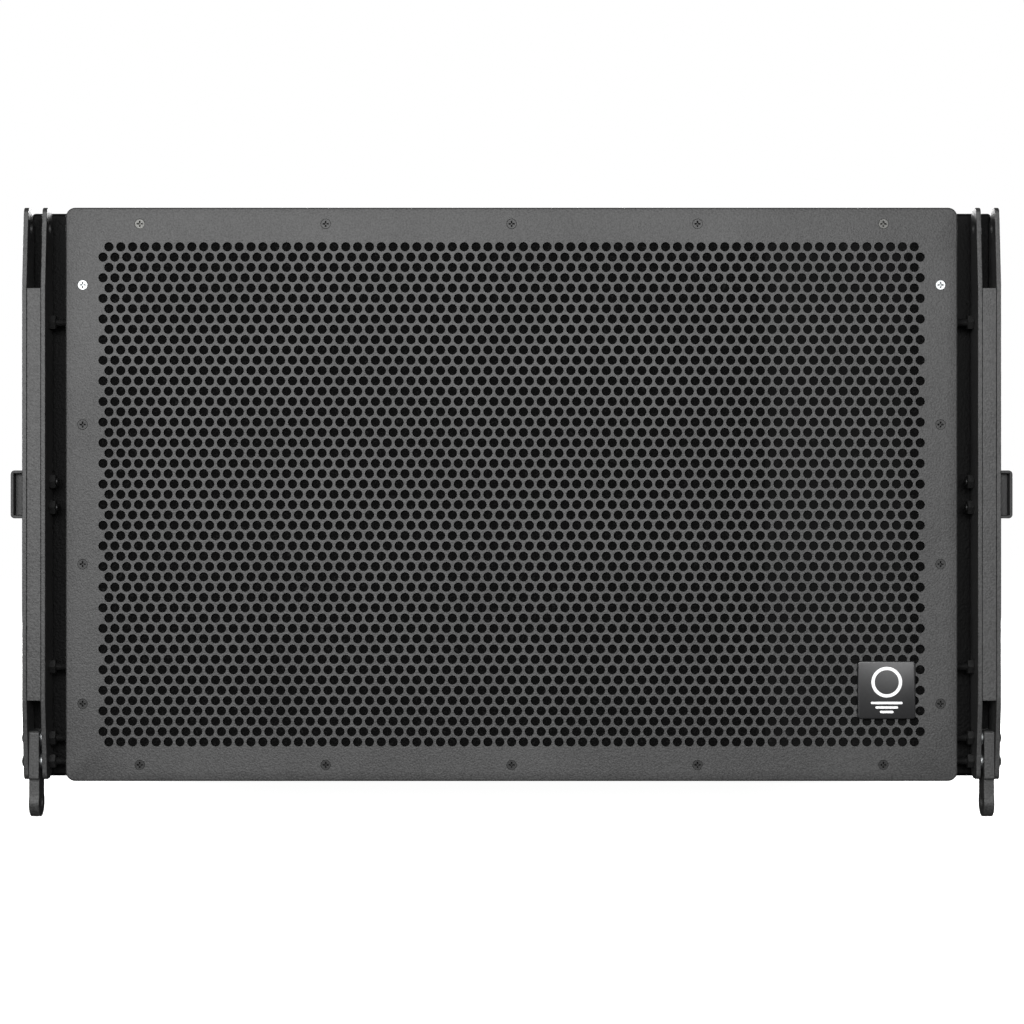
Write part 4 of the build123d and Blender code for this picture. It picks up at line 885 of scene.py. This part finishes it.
# %% Screws of the input panel
pan_rows = [
    (0, -1.9, ROUND), (0.9, -1.8, CROSS), (2.1, -0.2, CROSS), (2.6, -0.1, ROUND), (3.4, -0.7, ROUND),
    (3.8, -1.6, ROUND), (2.0, -1.8, ROUND),
]
panel_screws = solids("input_screws")
screw_length = (panel_screws[0][1].y - panel_screws[0][0].y) / MM
pan_rows = pan_rows + [(2.0, 2 - screw_length, ROUND), (0, -screw_length, ROUND)]
places = [(Vector(((low.x + high.x) / 2, high.y, (low.z + high.z) / 2)), "back")
          for low, high in panel_screws]
mesh = repeated("input_screws", template_mesh("pan_screw", pan_rows), places, finishes["black_screw"])
stand_in("input_screws_crossed", mesh, ["input_screws"])

# %% [markdown]
# ## The foam sheet
# The foam is a soft slab, 10 mm thick, behind the sheet. Its face is cut with a saw and is never
# flat, so its front is a fine grid that wanders by a few tenths of a millimetre. It is hardly
# squeezed.

# %% Cut the foam
foam_low, foam_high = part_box("grille_foam")
COLUMNS_OF_FOAM = 150
ROWS_OF_FOAM = 92
SAW_MARK = 0.35 * MM


def foam_mesh():
    """A slab with an uneven front face, inside the frame's own slab."""
    shape = bmesh.new()
    grid = []
    for row in range(ROWS_OF_FOAM + 1):
        line = []
        for column in range(COLUMNS_OF_FOAM + 1):
            x = foam_low.x + (foam_high.x - foam_low.x) * column / COLUMNS_OF_FOAM
            z = foam_low.z + (foam_high.z - foam_low.z) * row / ROWS_OF_FOAM
            uneven = noise.noise(Vector((x, 0, z)) / (9 * MM))
            y = foam_low.y + SAW_MARK * (1 + uneven)
            line.append(shape.verts.new((x, y, z)))
        grid.append(line)
    for one, two in zip(grid, grid[1:]):
        for i in range(COLUMNS_OF_FOAM):
            shape.faces.new((one[i], one[i + 1], two[i + 1], two[i]))
    edge = [e for e in shape.edges if e.is_boundary]
    grown = bmesh.ops.extrude_edge_only(shape, edges=edge)
    for vertex in (g for g in grown["geom"] if isinstance(g, bmesh.types.BMVert)):
        vertex.co.y = foam_high.y
    bmesh.ops.holes_fill(shape, edges=[e for e in shape.edges if e.is_boundary], sides=0)
    bmesh.ops.recalc_face_normals(shape, faces=shape.faces)
    mesh = bpy.data.meshes.new("foam")
    shape.to_mesh(mesh)
    shape.free()
    return smooth(mesh, 50)


foam_piece = stand_in("grille_foam_cut", foam_mesh(), ["grille_foam"], finishes["foam"])

# %% [markdown]
# ## The badge
# A small square plate sits on the grille's lower right. It carries a plain mark, made up for this
# model: a ring over three short bars, in raised nickel. The plate's rim is rounded over.

# %% The badge's plate and mark
badge_low, badge_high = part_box("badge")
badge_centre = (badge_low + badge_high) / 2
MARK_RISE = 0.3 * MM
PLATE_CORNER = 2.4 * MM
PLATE_ROUND = 0.9 * MM


def stack_mesh(name, loops, centre_y):
    """A closed slab through flat loops, stood upright with its face at a depth along Y."""
    shape = bmesh.new()
    rings = join_loops(shape, loops)
    shape.faces.new(rings[0])
    shape.faces.new(rings[-1])
    bmesh.ops.recalc_face_normals(shape, faces=shape.faces)
    stand = Matrix.Translation((badge_centre.x, centre_y, badge_centre.z))
    turn_up = stand @ Matrix.Rotation(math.pi / 2, 4, "X")
    shape.transform(turn_up)
    mesh = bpy.data.meshes.new(name)
    shape.to_mesh(mesh)
    shape.free()
    return mesh


side = (badge_high.x - badge_low.x) / 2
depth = badge_high.y - badge_low.y
face = badge_low.y + MARK_RISE
loops = [rounded_loop(side, side, PLATE_CORNER, MARK_RISE - depth)]
for step in range(5):
    angle = math.pi / 2 * step / 4
    inset = PLATE_ROUND * (1 - math.cos(angle))
    drop = PLATE_ROUND * (1 - math.sin(angle))
    loops.append(rounded_loop(side - inset, side - inset, PLATE_CORNER - inset, -drop))
plate = smooth(stack_mesh("badge_plate", loops, face), 30)
stand_in("badge_plate", plate, ["badge"], finishes["badge"])

# %% The mark
RING_OUT, RING_IN = 11.6 * MM, 9.2 * MM
RING_UP = 6.0 * MM
BARS = [(0.0, -9.8, 12.0), (0.0, -13.2, 8.6), (0.0, -16.6, 5.2)]
BAR_HALF = 0.9 * MM
mark = bmesh.new()
shift = (0, RING_UP)
ring = [(RING_IN, 0.0), (RING_IN, MARK_RISE), (RING_OUT, MARK_RISE), (RING_OUT, 0.0), (RING_IN, 0.0)]
join_loops(mark, [round_loop(radius, height, shift, 64) for radius, height in ring])
for x, y, half in BARS:
    for_bar = []
    for height in (0.0, MARK_RISE):
        outline = rounded_loop(half * MM, BAR_HALF, BAR_HALF * 0.98, height, 6)
        for_bar.append([point + Vector((x * MM, y * MM, 0)) for point in outline])
    rings = join_loops(mark, for_bar)
    mark.faces.new(rings[0])
    mark.faces.new(rings[1])
bmesh.ops.remove_doubles(mark, verts=mark.verts, dist=0.001 * MM)
bmesh.ops.recalc_face_normals(mark, faces=mark.faces)
mark_place = Matrix.Translation((badge_centre.x, face, badge_centre.z))
mark.transform(mark_place @ Matrix.Rotation(math.pi / 2, 4, "X"))
mark_mesh = bpy.data.meshes.new("badge_mark")
mark.to_mesh(mark_mesh)
mark.free()
stand_in("badge_mark", smooth(mark_mesh, 30), ["badge"], finishes["emblem"])

# %% [markdown]
# ## The lock pins' springs
# Each quick-release pin has a button that a small coil spring pushes out. The frame holds the
# spring's room as a sleeve; here it is a real coil, a bevelled curve along a helix. Its end turns
# lie closer together, as a ground spring's do.

# %% Wind the springs
SPRING_TURNS = 3.5
WIRE = 0.4 * MM


def spring_mesh(node_name):
    """A coil spring along X in the room that the frame's sleeve holds."""
    low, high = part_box(node_name)
    centre = (low + high) / 2
    coil_radius = (high.y - low.y) / 2 - WIRE
    curve = bpy.data.curves.new(node_name, "CURVE")
    curve.dimensions = "3D"
    curve.bevel_depth = WIRE
    curve.bevel_resolution = 3
    curve.use_fill_caps = True
    line = curve.splines.new("POLY")
    count = int(SPRING_TURNS * 20)
    line.points.add(count)
    for i, point in enumerate(line.points):
        share = i / count
        eased = share - 0.6 * math.sin(2 * math.pi * share) / (2 * math.pi)
        x = low.x + WIRE + (high.x - low.x - 2 * WIRE) * eased
        angle = 2 * math.pi * SPRING_TURNS * share
        point.co = (x, centre.y + coil_radius * math.cos(angle), centre.z + coil_radius * math.sin(angle), 1)
    wound = placed(node_name, curve)
    return applied(wound)


for side_name in ("right", "left"):
    node_name = "pin_spring_" + side_name
    coil = smooth(spring_mesh(node_name), 60)
    wound_spring = stand_in(node_name + "_wound", coil, [node_name], finishes["spring"])
    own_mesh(wound_spring)
print("each spring has", SPRING_TURNS, "turns")

# %% [markdown]
# ## The crossover board
# The filter board is one part of the frame, but it holds four materials. Each separate solid is
# told apart by its size: the wide thin one is the board, the small cubes are feet, the flat drums
# are copper chokes and the lying drums are film capacitors.

# %% Paint the board's solids
def crossover_mesh():
    """The board's mesh with a finish for each kind of solid on it."""
    shape = merged("crossover_board")
    boxes = solids("crossover_board")
    for polygon in shape.faces:
        centre = polygon.calc_center_median()
        for low, high in boxes:
            if all(low[i] - 1e-5 <= centre[i] <= high[i] + 1e-5 for i in range(3)):
                size = high - low
                polygon.material_index = kind_of(size)
                break
    mesh = bpy.data.meshes.new("crossover")
    shape.to_mesh(mesh)
    shape.free()
    if "custom_normal" in mesh.attributes:
        mesh.attributes.remove(mesh.attributes["custom_normal"])
    mesh.materials.clear()
    for key in ("circuit", "nylon", "choke", "film"):
        mesh.materials.append(finishes[key])
    return smooth(mesh, 35)


def kind_of(size):
    """Which finish a solid of the board takes, by its size: board, foot, choke or capacitor."""
    if size.x > 100 * MM:
        return 0
    if size.x < 15 * MM:
        return 1
    return 2 if size.y > 35 * MM else 3


stand_in("crossover_assembled", crossover_mesh(), ["crossover_board"])

# %% [markdown]
# ## Floor, light and camera
# A pale floor and plain soft light, as in a studio. One big softbox hangs above and in front, a
# little to the left, so the steel is lighter at the top and falls off towards the bottom. Three
# more stand at the sides and behind, for looking at the box from there. A faint even fill comes
# from all round. The floor is lit so that it nearly melts into the white behind,
# and only a soft shadow shows where the links stand.

# %% The floor
FLOOR_HALF = 6.0
FLOOR_GLOW = 0.97
floor_mesh = bpy.data.meshes.new("floor")
corners = [(FLOOR_HALF * x, FLOOR_HALF * y) for x, y in ((-1, -1), (1, -1), (1, 1), (-1, 1))]
floor_mesh.from_pydata([(x, y, cad_bounds[0][2] - 0.5 * MM) for x, y in corners], [], [(0, 1, 2, 3)])
floor = placed("floor", floor_mesh)
paper = grained("matt white paper", "#f4f4f4", "#ffffff", grain=4.0, bump=0.02, roughness=0.9)
paper_shader = next(n for n in paper.node_tree.nodes if n.type == "BSDF_PRINCIPLED")
paper_shader.inputs["Emission Color"].default_value = linear("#ffffff")
paper_shader.inputs["Emission Strength"].default_value = FLOOR_GLOW
floor_mesh.materials.append(paper)
floor.visible_diffuse = False
floor.visible_glossy = False

# %% The light
FILL = 0.03
world = bpy.data.worlds.new("studio")
bpy.context.scene.world = world
world.use_nodes = True
tree = world.node_tree
tree.nodes.clear()
seen = add(tree, "ShaderNodeLightPath").outputs["Is Camera Ray"]
strength = add(tree, "ShaderNodeMapRange", {}, {"Value": seen, "To Min": FILL, "To Max": 1.0})
sky = add(tree, "ShaderNodeBackground", {},
          {"Color": linear("#ffffff"), "Strength": strength.outputs["Result"]})
add(tree, "ShaderNodeOutputWorld", {}, {"Surface": sky.outputs[0]})


def softbox(name, width, height, power, place, target):
    """A soft rectangular lamp at a place, aimed at a target."""
    lamp = bpy.data.lights.new(name, "AREA")
    lamp.shape = "RECTANGLE"
    lamp.size = width
    lamp.size_y = height
    lamp.energy = power
    holder = placed(name, lamp)
    holder.location = place
    holder.rotation_euler = (Vector(target) - Vector(place)).to_track_quat("-Z", "Y").to_euler()
    return holder


middle_of_face = (0.0, cad_bounds[0][1], panel_centre.z)
softbox("key_softbox", 2.8, 1.1, 95.0, (-0.3, -2.85, 0.82), middle_of_face)
softbox("left_softbox", 1.2, 1.2, 66.0, (-2.0, 1.7, 0.9), (-0.3, 0.0, 0.25))
softbox("right_softbox", 1.2, 1.2, 66.0, (2.0, 1.7, 0.9), (0.3, 0.0, 0.25))
softbox("back_softbox", 2.4, 1.2, 110.0, (0.3, 2.9, 0.9), (0.0, 0.28, 0.25))
bpy.context.scene.view_settings.view_transform = "Standard"

# %% The camera
LENS = 80.5
CAMERA_BACK = 1.74
CAMERA_HEIGHT = panel_centre.z - 13.4 * MM
CAMERA_SIDE = 0.3 * MM
camera_data = bpy.data.cameras.new("camera")
camera_data.lens = LENS
camera_data.sensor_width = 36.0
camera = placed("camera", camera_data)
camera.location = (CAMERA_SIDE, panel_low.y - CAMERA_BACK, CAMERA_HEIGHT)
camera.rotation_euler = (math.pi / 2, 0, 0)
bpy.context.scene.camera = camera
